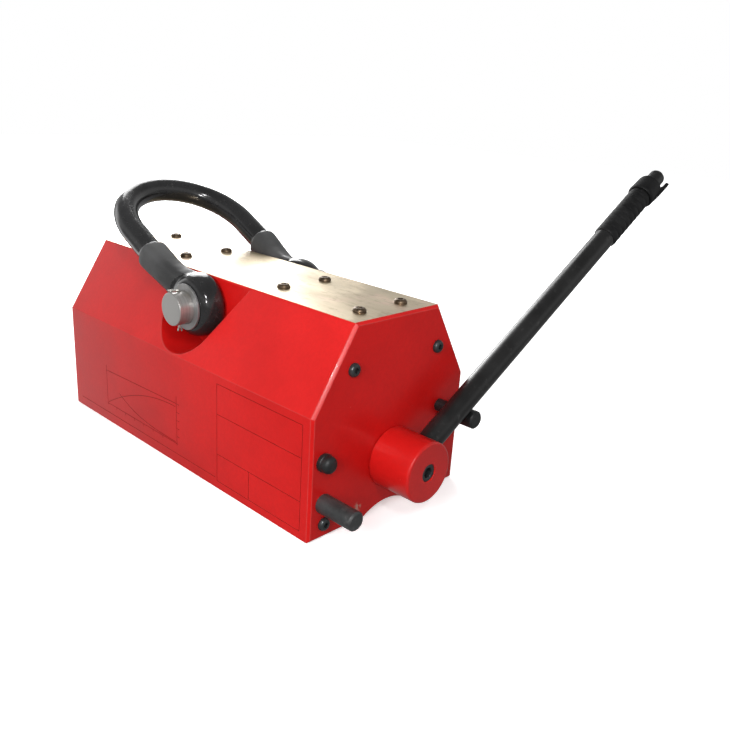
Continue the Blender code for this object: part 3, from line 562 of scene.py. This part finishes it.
def arch(start, end, steps):
    """Points of the shallow arch between the pole faces."""
    ys = [start + (end - start) * i / steps for i in range(steps + 1)]
    return [(y, max(0.0, ARCH_HEIGHT - ARCH_CURVE + sqrt(ARCH_CURVE**2 - y * y))) for y in ys]


def inset(outline, amount):
    """Outline moved inwards by the same amount along every edge."""
    result = []
    for i in range(len(outline)):
        before = Vector(outline[i - 1])
        here = Vector(outline[i])
        after = Vector(outline[(i + 1) % len(outline)])
        first = (here - before).normalized()
        second = (after - here).normalized()
        inward = Vector((first.y, -first.x))
        middle = (inward + Vector((second.y, -second.x))).normalized()
        result.append(tuple(here + middle * amount / middle.dot(inward)))
    return result


EDGE = 1.3 * MM
CLEAR = 0.3 * MM
BODY_OUTLINE = [
    (-HALF_WIDTH, 0),
    (-HALF_WIDTH, WALL_HEIGHT),
    (-TOP_HALF, HEIGHT),
    (TOP_HALF, HEIGHT),
    (HALF_WIDTH, WALL_HEIGHT),
    (HALF_WIDTH, 0),
    *arch(ARCH_HALF_WIDTH, -ARCH_HALF_WIDTH, 32),
]
CORNERS = {0: EDGE, 1: EDGE, 4: EDGE, 5: EDGE}


def mark_edges(mesh):
    """Gives the rounded long edges of the body the edge look, a paler red that paints the highlight
    along them.
    """
    for face in mesh.polygons:
        y, z = abs(face.center.y), face.center.z
        long_edge = y > HALF_WIDTH - 1.2 * MM and (abs(z - WALL_HEIGHT) < 0.8 * MM or z < 1.0 * MM)
        if long_edge and abs(face.normal.x) < 0.1 and -0.98 < face.normal.z and face.area < 0.0011:
            face.material_index = 1


def etched_lines():
    """Cutter for the plain frame, chart axes, ticks and curves on the near long face."""
    width = 0.3 * MM
    depth = 0.5 * MM
    lines = [
        ((81, 116), (209, 116)),
        ((81, 83.5), (209, 83.5)),
        ((81, 39.5), (209, 39.5)),
        ((81, 9), (209, 9)),
        ((81, 9), (81, 116)),
        ((209, 9), (209, 116)),
        ((133, 9), (133, 39.5)),
        ((-205, 12), (78, 12)),
        ((-140, 22), (-140, 72)),
        ((8, 22), (8, 79)),
        ((-140, 24), (10, 24)),
        ((-140, 66), (8, 71)),
    ]
    lines += [((8, z), (13, z)) for z in (32.6, 42, 51.5, 61, 70.7)]
    lines += [((x, 24), (x, 21)) for x in (-120, -100, -80, -60, -40, -20)]
    rise = [(-138 + 144 * t, 26 + 41 * (1 - (1 - t) ** 2.0)) for t in [i / 18 for i in range(19)]]
    fall = [(-112 + 117 * t, 25.5 + 19 * (1 - t) ** 3.0) for t in [i / 18 for i in range(19)]]
    bm = bmesh.new()
    for chain in [*lines, rise, fall]:
        points = [Vector(p) * MM for p in chain]
        rings = []
        for i, here in enumerate(points):
            way = (points[min(i + 1, len(points) - 1)] - points[max(i - 1, 0)]).normalized()
            across = Vector((-way.y, way.x)) * width
            here = here + way * width * ((i == len(points) - 1) - (i == 0))
            ring = []
            for side, y in ((-1, -depth), (1, -depth), (1, 0.6 * MM), (-1, 0.6 * MM)):
                spot = here + across * side
                ring.append(bm.verts.new((spot.x, -HALF_WIDTH - y, spot.y)))
            rings.append(ring)
        skin(bm, rings)
    return coated(to_mesh(bm, "self crossing lines"), "etched")


POCKET_RADIUS = 47.0 * MM
POCKET_WALL = 58.0 * MM
POCKET_TOP_HALF = 72.0 * MM


def pocket_outline():
    """Flared U of the pocket around the shackle's eye, open upwards."""
    rise = HEIGHT - PIN_Z
    tangent = asin(rise / hypot(POCKET_TOP_HALF, rise))
    tangent -= pi / 2 - asin(POCKET_RADIUS / hypot(POCKET_TOP_HALF, rise))
    steps = 64
    arc = [tangent - (pi + 2 * tangent) * i / steps for i in range(steps + 1)]
    points = [(POCKET_RADIUS * cos(a), PIN_Z + POCKET_RADIUS * sin(a)) for a in arc]
    over = 0.25 * rise
    lean = (POCKET_TOP_HALF - POCKET_RADIUS * cos(tangent)) / (rise - POCKET_RADIUS * sin(tangent))
    flare = POCKET_TOP_HALF + lean * over
    return points + [(-flare, HEIGHT + over), (flare, HEIGHT + over)]


def pocket_tool(pocket, side):
    walls = sorted((side * POCKET_WALL, side * HALF_WIDTH * 2))
    return coated(loft("pocket", "Y", [(wall, pocket) for wall in walls]), "red")


def cylinder(name, look, radius, start, end, steps=64):
    profile = [(start, 0), (start, radius), (end, radius), (end, 0)]
    return coated(turned(name, profile, steps), look)


def build_poles():
    front = arch(-SPACER_HALF, -ARCH_HALF_WIDTH, 16)
    count = len(front)
    front += [(-HALF_WIDTH, 0), (-HALF_WIDTH, WALL_HEIGHT)]
    front += [(-TOP_HALF - (HEIGHT - DECK_Z) * SLOPE, DECK_Z), (-CORE_HALF, DECK_Z)]
    first = pi - asin(sqrt(ROTOR_BORE**2 - CORE_HALF**2) / ROTOR_BORE)
    last = pi + asin(sqrt(ROTOR_BORE**2 - SPACER_HALF**2) / ROTOR_BORE)
    sweep = [first + (last - first) * i / 48 for i in range(49)]
    front += [(ROTOR_BORE * cos(a), AXIS_Z + ROTOR_BORE * sin(a)) for a in sweep]
    front = fillet(front, {count: EDGE, count + 1: EDGE}, 5, True)
    pin_way = facing((0, 1, 0), (0, 0, PIN_Z))
    pocket = pocket_outline()

    def on_rim(middle):
        slope = abs(abs(middle.y) + (middle.z - HEIGHT) * SLOPE - TOP_HALF)
        wall = abs(abs(middle.y) - HALF_WIDTH)
        return min(slope, wall) < 0.05 * MM and middle.z < DECK_Z - 0.2 * MM and abs(middle.x) < 0.1

    lines = etched_lines()
    for name, side in (("pole_front", -1), ("pole_rear", 1)):
        outline = front if side == -1 else [(-y, z) for y, z in reversed(front)]
        mesh = loft(name, "X", ((-PLATE_INNER, outline), (PLATE_INNER, outline)))
        coated(mesh, "red", "red_edge_highlight_and_wear")
        mark_edges(mesh)
        hole = cylinder("pin hole", "red", PIN_RADIUS + CLEAR, -0.3, 0.3)
        mesh = combine(mesh, [(pocket_tool(pocket, side), None), (hole, pin_way)])
        # The pocket's rounded rim takes the edge look, whose paler red paints its highlight.
        mesh = bevel_where(mesh, on_rim, 0.9 * MM, 1)
        if side == -1:
            mesh = combine(mesh, [(lines.copy(), None)])
        show(name + "_painted", mesh, (), "base", (name,))
    return lines, pocket


def build_end_plates(lines):
    band = (
        (PLATE_INNER, 0.0),
        (HALF - END_CHAMFER - 0.5 * MM, 0.0),
        (HALF - END_CHAMFER - 0.15 * MM, 0.06 * MM),
        (HALF - END_CHAMFER + 0.35 * MM, 0.35 * MM),
        (HALF - 0.35 * MM, END_CHAMFER - 0.35 * MM),
        (HALF - 0.06 * MM, END_CHAMFER + 0.15 * MM),
        (HALF, END_CHAMFER + 0.5 * MM),
    )
    for name, side in (("drive_end_plate", 1), ("far_end_plate", -1)):
        sections = []
        for reach, amount in band:
            corners = {index: max(0.4 * MM, EDGE - amount) for index in CORNERS}
            corners.update({2: 0.3 * MM, 3: 0.3 * MM})
            sections.append((side * reach, fillet(inset(BODY_OUTLINE, amount), corners, 5, True)))
        # The rounded edges and the end chamfer take the edge look, whose paler red paints their
        # highlight.
        mesh = loft(name, "X", sections, (0, 1, 1, 0, 1, 1))
        coated(mesh, "red", "red_edge_highlight_and_wear")
        mark_edges(mesh)
        rebate = [(-0.2, DECK_Z), (-0.2, 0.3), (0.2, 0.3), (0.2, DECK_Z)]
        span = sorted((side * (PLATE_INNER - 0.01), side * (HALF - END_CHAMFER)))
        tools = [(coated(loft("rebate", "X", [(reach, rebate) for reach in span]), "red"), None)]
        if side == 1:
            bore = cylinder("bore", "red", BUSH_BORE, 0, 0.4)
            tools += [(bore, facing((1, 0, 0), (0, 0, AXIS_Z))), (lines, None)]
        show(name + "_painted", combine(mesh, tools), (), "base", (name,))


def build_cover(pocket):
    """Pale metal plate with painted long sides, cut open over the shackle's pockets."""
    lip = 0.35 * MM
    outline = [
        (-TOP_HALF - (HEIGHT - DECK_Z) * SLOPE, DECK_Z),
        (-TOP_HALF - lip * SLOPE, HEIGHT - lip),
        (-TOP_HALF + lip, HEIGHT),
    ]
    outline += [(-y, z) for y, z in reversed(outline)]
    reach = HALF - END_CHAMFER
    mesh = loft("cover", "X", ((-reach, outline), (reach, outline)))
    coated(mesh, "gold", "red")
    for face in mesh.polygons:
        face.material_index = 0 if face.normal.z > 0.75 else 1
    tools = [(pocket_tool(pocket, side), None) for side in (-1, 1)]
    show("top_cover_brushed", combine(mesh, tools), (), "base", ("top_cover_plate",))


def screw_mesh(name, look):
    """Button head with a hexagon socket; its underside is on z = 0."""
    high = 4.3 * MM
    socket = 2.5 * MM
    flat = socket + 1.1 * MM
    rim = 0.5 * MM
    neck = 3.2 * MM
    dome = []
    for i in range(9):
        angle = radians(8 + 82 * i / 8)
        spread = flat + (SCREW_HEAD - flat) * cos(angle)
        dome.append((rim + (high - rim) * sin(angle), spread))
    profile = [(-3.0 * MM, 0), (-3.0 * MM, neck), (0, neck), (0, SCREW_HEAD), *dome]
    profile += [(high, socket + 0.35 * MM), (high - 0.3 * MM, socket), (high - 2.4 * MM, socket)]
    hexagons = (len(profile) - 2, len(profile) - 1)
    profile.append((high - 2.9 * MM, 0))
    return coated(turned(name, profile, 48, hexagons), look)


def build_screws():
    bronze = screw_mesh("bronze button head", "bronze")
    oxide = screw_mesh("oxide button head", "oxide")
    for group, count, mesh, way, slot in (
        ("top_cover_screw", 8, bronze, (0, 0, 1), "aged_screw"),
        ("drive_end_screw", 4, oxide, (1, 0, 0), "dark_steel"),
        ("far_end_screw", 4, oxide, (-1, 0, 0), "dark_steel"),
    ):
        for number in range(1, count + 1):
            node = f"{group}_{number}"
            low, high = body_box(node)
            middle = (low + high) / 2
            if way[2]:
                seat = Vector((middle.x, middle.y, HEIGHT))
            else:
                seat = Vector((way[0] * HALF, middle.y, middle.z))
            spin = Matrix.Rotation(0.7 * number, 4, "Z")
            show(node + "_head", mesh.copy(), (), "base", (node,), facing(way, seat) @ spin)


def catch_profile(radius, length):
    """Flanged pin with a domed end."""
    shank = radius - 0.6 * MM
    dome = 5.5 * MM
    base = length - dome
    points = [(-2 * MM, 0), (-2 * MM, radius), (3.4 * MM, radius), (4.2 * MM, shank), (base, shank)]
    for i in range(1, 9):
        angle = pi / 2 * i / 9
        points.append((base + dome * sin(angle), shank * cos(angle) ** 0.6))
    points.append((length, 0))
    return fillet(points, {2: 0.8 * MM, 3: 0.6 * MM}, 4)


def stop_profile(radius, length):
    """Plain pin with a chamfered end."""
    points = [(-2 * MM, 0), (-2 * MM, radius), (length - 1.6 * MM, radius)]
    points += [(length, radius - 1.7 * MM), (length, 0)]
    return fillet(points, {2: 0.6 * MM, 3: 0.5 * MM}, 4)


def build_stops():
    """Two stop pins and the key's catch on the drive end plate."""
    for node, look, profile in (
        ("stop_pin_off", "dark_key", stop_profile),
        ("stop_pin_on", "dark", stop_profile),
        ("key_catch", "dark_key", catch_profile),
    ):
        low, high = body_box(node)
        radius = (high.y - low.y) / 2
        mesh = turned(node, profile(radius, high.x - HALF))
        place = facing((1, 0, 0), (HALF, (low.y + high.y) / 2, (low.z + high.z) / 2))
        show(node + "_turned", mesh, (look,), "base", (node,), place)


# Rotor, hub and lever -----------------------------------------------------------------------

def build_hub():
    deep = HUB_END - 12.0 * MM
    back_face = HALF + 31.0 * MM
    bore = 5.3 * MM
    recess = 9.0 * MM
    shaft_seat = 14.3 * MM
    profile = [
        (HUB_START, shaft_seat),
        (HUB_START, HUB_RADIUS),
        (HUB_END, HUB_RADIUS),
        (HUB_END, recess),
        (deep, recess),
        (deep, bore),
        (back_face, bore),
        (back_face, shaft_seat),
    ]
    profile = fillet(profile, {1: 1.0 * MM, 2: 3.0 * MM, 3: 0.8 * MM}, 6, True)
    way = facing((1, 0, 0), (0, 0, AXIS_Z))
    mesh = turned("hub", profile, 128, closed=True)
    mesh.transform(way)
    coated(mesh, "red_hub", "red_edge_highlight_and_wear")
    socket = cylinder("lever socket", "red_hub", LEVER_RADIUS + CLEAR, 17.2 * MM, 60 * MM)
    mesh = combine(mesh, [(socket, LEVER_FRAME)])
    show("lever_hub_painted", mesh, (), "rotor", ("lever_hub",))

    head = HUB_END - 1.0 * MM
    seat = deep + CLEAR
    tip = HALF + 14.0 * MM
    shank = 4.7 * MM
    head_radius = 8.6 * MM
    hexagon = 5.0 * MM
    profile = [
        (tip, 0),
        (tip, shank),
        (seat, shank),
        (seat, head_radius),
        (head, head_radius),
        (head, hexagon + 0.8 * MM),
        (head - 0.5 * MM, hexagon),
        (head - 6.0 * MM, hexagon),
        (head - 7.2 * MM, 0),
    ]
    mesh = turned("hub screw", profile, 72, hexagons=(6, 7))
    show("hub_screw_socket", mesh, ("oxide",), "rotor", ("hub_screw",), way)


def sleeve(name, start, end, inner, outer, edge, steps=64):
    profile = [(start, inner), (start, outer), (end, outer), (end, inner)]
    return turned(name, fillet(profile, {1: edge, 2: edge}, 4, True), steps, closed=True)


def key_slot():
    """Cutter for the oval slot in the lever through which the key's rod passes."""
    half = 7.1 * MM
    length = 25.0 * MM
    angles = [pi * i / 12 for i in range(13)]
    oval = [(half * cos(a), length / 2 - half + half * sin(a)) for a in angles]
    oval += [(-half * cos(a), half - length / 2 - half * sin(a)) for a in angles]
    return coated(loft("key slot", "X", ((-2 * LEVER_RADIUS, oval), (0, oval))), "lever")


def build_lever():
    profile = [
        (LEVER_START, LEVER_BORE),
        (LEVER_START, LEVER_RADIUS),
        (LEVER_SHOULDER, LEVER_RADIUS),
        (LEVER_SHOULDER, LEVER_NECK),
        (LEVER_END, LEVER_NECK),
        (LEVER_END, LEVER_BORE),
    ]
    profile = fillet(profile, {1: 0.8 * MM, 2: 0.8 * MM}, 4, True)
    mesh = coated(turned("lever", profile, 72, closed=True), "lever")
    mesh = combine(mesh, [(key_slot(), Matrix.Translation((0, 0, KEY_SLOT)))])
    show("lever_tube_black", mesh, (), "rotor", ("lever_tube",), LEVER_FRAME)
    build_grip()


def build_grip():
    """Ribbed rubber sleeve with a thicker collar, in millimetres along the lever."""
    ribs = 9
    pitch = (COLLAR_START - GRIP_START) / ribs
    crest = 13.7
    rib_shape = ((0.08, 0.8), (0.2, 0.2), (0.4, 0.0), (0.62, 0.0), (0.82, 0.2), (0.94, 0.8), (1.0, 1.0))
    outer = [(GRIP_START, 12.1)]
    for rib in range(ribs):
        outer += [(GRIP_START + (rib + t) * pitch, crest - drop) for t, drop in rib_shape]
    mouth = 10.1
    outer += [
        (COLLAR_START, 14.4),
        (465.0, 15.4),
        (466.8, 15.9),
        (469.6, 15.6),
        (478.0, 15.2),
        (487.5, 14.8),
        (489.6, 14.4),
        (490.7, 13.6),
        (491.0, 12.6),
        (491.0, mouth),
    ]
    inner = LEVER_NECK + CLEAR
    seat = LEVER_END + CLEAR
    profile = [(GRIP_START * MM, inner), *[(a * MM, b * MM) for a, b in outer]]
    profile += [(seat, mouth * MM), (seat, inner)]
    mesh = coated(turned("grip", profile, 64, closed=True), "rubber")
    mesh = combine(mesh, [(coated(tab_mesh(), "rubber"), None)], "UNION")
    show("lever_grip_ribbed", mesh, (), "rotor", ("lever_grip",), LEVER_FRAME)


def tab_mesh():
    """Curved tongue that stands out of the collar beside the button."""
    bm = bmesh.new()
    rings = []
    middle = radians(45)
    count = 10
    for reach, inner, outer, spread in (
        (466, 12.5, 15.4, 26),
        (476, 12.5, 16.6, 25),
        (488, 12.8, 17.3, 24),
        (498, 13.2, 17.5, 23),
        (507, 13.6, 17.6, 22),
        (508.4, 14.0, 17.3, 20),
    ):
        ring = []
        spots = [(outer, -spread + 2 * spread * i / count) for i in range(count + 1)]
        spots += [(inner, spread - 2 * spread * i / count) for i in range(count + 1)]
        for radius, degrees in spots:
            angle = middle + radians(degrees)
            ring.append(bm.verts.new((radius * MM * cos(angle), radius * MM * sin(angle), reach * MM)))
        rings.append(ring)
    skin(bm, rings)
    return to_mesh(bm, "tongue")


def build_key():
    profile = [(BUTTON_BASE, 0), (BUTTON_BASE, BUTTON_RADIUS)]
    for i in range(10):
        angle = pi / 2 * i / 9
        reach = BUTTON_TIP - BUTTON_ROUNDING * (1 - sin(angle))
        profile.append((reach, BUTTON_RADIUS - BUTTON_ROUNDING * (1 - cos(angle))))
    profile.append((BUTTON_TIP, 0))
    mesh = turned("button", profile, 72)
    show("tip_button_domed", mesh, ("lever",), "key", ("tip_button",), LEVER_FRAME)

    low, high = body_box("locking_key")
    centre = (low + high) / 2
    radius = (high.y - low.y) / 2
    points = [(low.x, 0), (low.x, radius), (high.x, radius), (high.x, 0)]
    mesh = turned("key", fillet(points, {1: 1.2 * MM, 2: 0.8 * MM}, 4))
    way = facing((1, 0, 0), (0, centre.y, centre.z))
    show("locking_key_turned", mesh, ("dark_key",), "key", ("locking_key",), way)


# Shackle and pin ----------------------------------------------------------------------------

def leg_block(side):
    """Tapered forged block between an eye and the bow's rod.

    Sections give the reach along the leg, both sides across, and the heights below and above.
    """
    bm = bmesh.new()
    rings = []
    steps = 48
    squareness = 0.6
    for reach, low, high, under, over_in, over_out in (
        (8.0, 62.0, 80.0, 14.0, 31.0, 31.0),
        (20.0, 61.0, 82.5, 14.5, 29.0, 21.0),
        (30.0, 60.8, 84.5, 14.8, 25.0, 16.0),
        (40.0, 60.8, 86.0, 15.0, 19.5, 15.0),
        (50.0, 61.0, 87.2, 15.2, 16.4, 15.2),
        (60.0, 61.2, 88.6, 15.4, 15.4, 15.2),
        (84.0, 61.2, 92.4, 15.6, 15.6, 15.6),
        (90.0, 61.4, 92.2, 15.5, 15.5, 15.5),
        (91.5, 62.4, 91.4, 14.6, 14.6, 14.6),
    ):
        ring = []
        for step in range(steps):
            angle = 2 * pi * step / steps
            out = abs(cos(angle)) ** squareness * (1 if cos(angle) >= 0 else -1)
            up = abs(sin(angle)) ** squareness * (1 if sin(angle) >= 0 else -1)
            across = (low + high) / 2 + (high - low) / 2 * out
            over = over_in + (over_out - over_in) * (out + 1) / 2
            height = up * (over if up > 0 else under)
            ring.append(bm.verts.new((height * MM, side * across * MM, reach * MM)))
        rings.append(ring)
    skin(bm, rings)
    return to_mesh(bm, f"block {side}")


ARC = [pi / 2 * i / 10 for i in range(11)]
LEG_START = 84.0 * MM
LEG_END = 130.0 * MM
BOW_RADIUS = 77.0 * MM
ROD_RADIUS = 13.8 * MM
BLOCK_END = 91.5 * MM
EYE_REACH = 35.0 * MM
COTTER_Y = 95.0 * MM


def bow_mesh():
    """Round rod of the shackle, upright over the pin's axis."""
    path = [(0, -BOW_RADIUS, LEG_START)]
    for i in range(73):
        angle = pi * i / 72
        path.append((0, -BOW_RADIUS * cos(angle), LEG_END + BOW_RADIUS * sin(angle)))
    path.append((0, BOW_RADIUS, LEG_START))
    return tube("rod", path, ROD_RADIUS, 40)


def eye_mesh():
    """Rounded boss of the shackle around the pin, in its own half."""
    profile = [(59.2, 0), (59.2, 27.0)]
    profile += [(66.2 - 7.0 * cos(a), 27.0 + 7.0 * sin(a)) for a in ARC[1:]]
    profile += [(71.2 + 15.0 * sin(a), 24.8 + 9.2 * cos(a)) for a in ARC]
    profile.append((86.2, 0))
    return turned("eye", [(a * MM, b * MM) for a, b in profile], 96)


def build_shackle():
    lean = Matrix.Translation((0, 0, PIN_Z)) @ Matrix.Rotation(BOW_REST - pi / 2, 4, "Y")
    rod = bow_mesh()
    rod.transform(lean)
    across = facing((0, 1, 0), (0, 0, PIN_Z))
    parts = []
    for side in (-1, 1):
        parts.append((leg_block(side), lean))
        parts.append((eye_mesh(), facing((0, side, 0), (0, 0, PIN_Z))))
    finer = [
        ("REMESH", {"mode": "VOXEL", "voxel_size": 1.25 * MM, "use_smooth_shade": True}),
        ("SMOOTH", {"factor": 0.5, "iterations": 4}),
    ]
    mesh = combine(rod, parts, "UNION", finer)
    mesh.materials.clear()
    coated(mesh, "forged", "forged_block")
    unlean = lean.inverted()
    for face in mesh.polygons:
        place = unlean @ face.center
        on_block = place.z < BLOCK_END and hypot(place.x, place.z) > EYE_REACH
        face.material_index = 1 if on_block else 0
    bore = cylinder("bore", "forged", PIN_RADIUS + CLEAR, -0.2, 0.2, 96)
    mesh = combine(mesh, [(bore, across)])
    show("shackle_forged", mesh, (), "shackle", ("shackle",))


def cotter_mesh(side):
    """Split pin: two legs through the cross pin and a loop above it, leaning outwards."""
    wire = 0.95 * MM
    loop = 6.6
    top = PIN_RADIUS
    out = Vector((0, side * 0.99, 0.10)) if side == -1 else Vector((0, 0.95, -0.30))
    start = Vector((0, 0, top + 0.9 * MM))
    path = [(-wire, side * 1.6 * MM, -top - 7.5 * MM), (-wire, 0, -top - 2 * MM), (-wire, 0, top)]
    for i in range(25):
        angle = 2 * pi * (i + 0.5) / 25
        spot = start + out * loop * MM * (1 - cos(angle))
        path.append((-3.0 * MM * sin(angle), spot.y, spot.z))
    path += [(wire, 0, top), (wire, 0, -top - 2 * MM)]
    path.append((wire + 1 * MM, -side * 1.4 * MM, -top - 7.0 * MM))
    return tube("cotter", path, wire, 12)


def build_pin():
    across = facing((0, 1, 0), (0, 0, PIN_Z))
    profile = [(-PIN_END, 0), (-PIN_END, PIN_RADIUS), (PIN_END, PIN_RADIUS), (PIN_END, 0)]
    mesh = turned("pin", fillet(profile, {1: 1.1 * MM, 2: 1.1 * MM}, 4), 96)
    mesh.transform(across)
    coated(mesh, "pin")
    holes = []
    for side in (-1, 1):
        drill = cylinder("cotter hole", "pin", 2.3 * MM, -30 * MM, 30 * MM, 24)
        holes.append((drill, Matrix.Translation((0, side * COTTER_Y, PIN_Z))))
    mesh = combine(mesh, holes)
    show("shackle_pin_turned", mesh, (), "base", ("shackle_pin",))
    for node, side in (("front", -1), ("rear", 1)):
        low, high = body_box("washer_" + node)
        ends = sorted((abs(low.y), abs(high.y)))
        mesh = sleeve("washer", *ends, PIN_RADIUS + CLEAR, (high.x - low.x) / 2, 0.6 * MM, 96)
        out = facing((0, side, 0), (0, 0, PIN_Z))
        show(f"washer_{node}_zinc", mesh, ("washer",), "base", (f"washer_{node}",), out)
        at = Matrix.Translation((0, side * COTTER_Y, PIN_Z))
        mesh = cotter_mesh(side)
        show(f"cotter_{node}_split", mesh, ("wire",), "base", (f"cotter_{node}",), at)


etching, pocket_shape = build_poles()
build_end_plates(etching)
build_cover(pocket_shape)
build_screws()
build_stops()
build_hub()
build_lever()
build_key()
build_shackle()
build_pin()

KEPT = {
    "steel": ("lifting_beam", "rotor_pole_a", "rotor_pole_b", "drive_shaft", "far_shaft", "push_rod"),
    "brass": ("pole_spacer", "drive_bush", "far_bush"),
    "magnet": ("stator_magnet_1", "stator_magnet_2", "stator_magnet_3", "rotor_magnet"),
    "wire": ("key_spring",),
}
for look, nodes in KEPT.items():
    for node in nodes:
        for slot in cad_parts[node].material_slots:
            slot.material = LOOKS[look]


# Floor, light and camera --------------------------------------------------------------------

def stage_floor():
    gap = 0.2 * MM
    bpy.ops.mesh.primitive_plane_add(size=9.0, location=(0, 0, -gap))
    floor = bpy.context.object
    floor.name = "floor"
    floor.visible_glossy = False
    floor.visible_diffuse = False
    look = Look("pale floor", specular=0.1)
    tone = look.mix(look.noise(2.0), (0.90, 0.90, 0.90), (0.92, 0.92, 0.92))
    # The floor glows, dimmer near the body and full white further out: painted shade round the object,
    # on top of its real shadows.
    distance = look.node("VectorMath", {"operation": "LENGTH"}, _0=look.place).outputs["Value"]
    away = look.ramp(distance, 0.45, 1.3, 0.46, 1.0)
    look.shader.inputs["Emission Color"].default_value = (1, 1, 1, 1)
    look.tree.links.new(away, look.shader.inputs["Emission Strength"])
    floor.data.materials.append(look.finish(tone, look.ramp(look.noise(3.0), 0, 1, 0.7, 0.8)))


def softbox(name, place, aim, size, power, glossy=True):
    data = bpy.data.lights.new(name, "AREA")
    data.shape = "RECTANGLE"
    data.size, data.size_y = size
    data.energy = power
    made = bpy.data.objects.new(name, data)
    made.location = ORIGIN + Vector(place)
    made.rotation_euler = (Vector(aim) - Vector(place)).to_track_quat("-Z", "Y").to_euler()
    made.visible_camera = False
    made.visible_glossy = glossy
    bpy.context.scene.collection.objects.link(made)
    return made


def maths(nodes, links, operation, *values):
    """A math node on sockets or numbers."""
    made = nodes.new("ShaderNodeMath")
    made.operation = operation
    for socket, value in zip(made.inputs, values):
        if isinstance(value, bpy.types.NodeSocket):
            links.new(value, socket)
        else:
            socket.default_value = value
    return made.outputs[0]


def studio_world():
    """White to the camera, and for reflections and fill a dim room with one bright upright band."""
    world = bpy.data.worlds.new("studio")
    world.use_nodes = True
    nodes = world.node_tree.nodes
    links = world.node_tree.links
    room = nodes["Background"]
    white = nodes.new("ShaderNodeBackground")
    white.inputs["Color"].default_value = (1, 1, 1, 1)
    where = nodes.new("ShaderNodeTexCoord")
    split = nodes.new("ShaderNodeSeparateXYZ")
    rise = nodes.new("ShaderNodeValToRGB")
    links.new(where.outputs["Generated"], split.inputs[0])
    links.new(split.outputs["Z"], rise.inputs[0])
    stops = ((0.0, 0.30), (0.02, 0.42), (0.12, 0.62), (0.38, 0.62), (0.62, 0.25), (1.0, 0.22))
    for position, value in stops[1:-1]:
        rise.color_ramp.elements.new(position)
    for element, (position, value) in zip(rise.color_ramp.elements, stops):
        element.position = position
        element.color = (value, value, value, 1)
    turn = [maths(nodes, links, "MULTIPLY", split.outputs[axis], -1.0) for axis in ("Y", "X")]
    azimuth = maths(nodes, links, "ARCTAN2", *turn)
    height = split.outputs["Z"]
    band = None
    for value, low, high in (
        (azimuth, 0.02, 0.14),
        (azimuth, 0.49, 0.40),
        (height, -0.55, -0.40),
        (height, 0.50, 0.32),
    ):
        edge = nodes.new("ShaderNodeMapRange")
        edge.interpolation_type = "SMOOTHSTEP"
        edge.inputs[1].default_value = low
        edge.inputs[2].default_value = high
        links.new(value, edge.inputs[0])
        inside = edge.outputs[0]
        band = maths(nodes, links, "MULTIPLY", band, inside) if band else inside
    lit = nodes.new("ShaderNodeMix")
    lit.data_type = "RGBA"
    lit.inputs[7].default_value = (1.7, 1.7, 1.7, 1)
    links.new(band, lit.inputs[0])
    links.new(rise.outputs[0], lit.inputs[6])
    links.new(lit.outputs[2], room.inputs["Color"])
    seen = nodes.new("ShaderNodeLightPath")
    blend = nodes.new("ShaderNodeMixShader")
    links.new(seen.outputs["Is Camera Ray"], blend.inputs[0])
    links.new(room.outputs[0], blend.inputs[1])
    links.new(white.outputs[0], blend.inputs[2])
    links.new(blend.outputs[0], nodes["World Output"].inputs["Surface"])
    bpy.context.scene.world = world


stage_floor()
studio_world()
softbox("overhead", (0, 0, 2.8), (0, 0, 0), (6.0, 6.0), 50.0, False)
softbox("front", (0.46, -0.78, 0.46), (0.1, 0, 0.1), (0.45, 0.35), 6.3, False)
softbox("key", (1.42, -0.90, 1.41), (0.2, 0, 0.1), (0.15, 0.15), 9.0)
glint = softbox("hub glint", (0.684, -0.492, 0.468), (0.24, 0, 0.06), (0.03, 0.03), 3.0)
glint.visible_diffuse = False
softbox("back left", (-2.25, 1.12, 0.80), (0, 0, 0.18), (1.3, 0.8), 35.0)
softbox("high left", (-1.75, 0.95, 1.55), (0, 0, 0.2), (1.3, 1.0), 20.0)
bpy.context.scene.view_settings.view_transform = "Standard"

azimuth, elevation, roll = radians(43.034), radians(19.243), radians(3.635)
back = Vector((sin(azimuth) * cos(elevation), -cos(azimuth) * cos(elevation), sin(elevation)))
right = Vector((cos(azimuth), sin(azimuth), 0))
up = back.cross(right)
axes = (right * cos(roll) + up * sin(roll), up * cos(roll) - right * sin(roll), back)
camera_data = bpy.data.cameras.new("camera")
camera_data.lens = 38.69
camera_data.sensor_width = 36.0
CAMERA_PLACE = Vector((679.63, -535.37, 397.42)) * MM
camera = bpy.data.objects.new("camera", camera_data)
view = Matrix(axes).transposed().to_4x4()
view.translation = ORIGIN + CAMERA_PLACE
camera.matrix_world = view
bpy.context.scene.collection.objects.link(camera)
bpy.context.scene.camera = camera
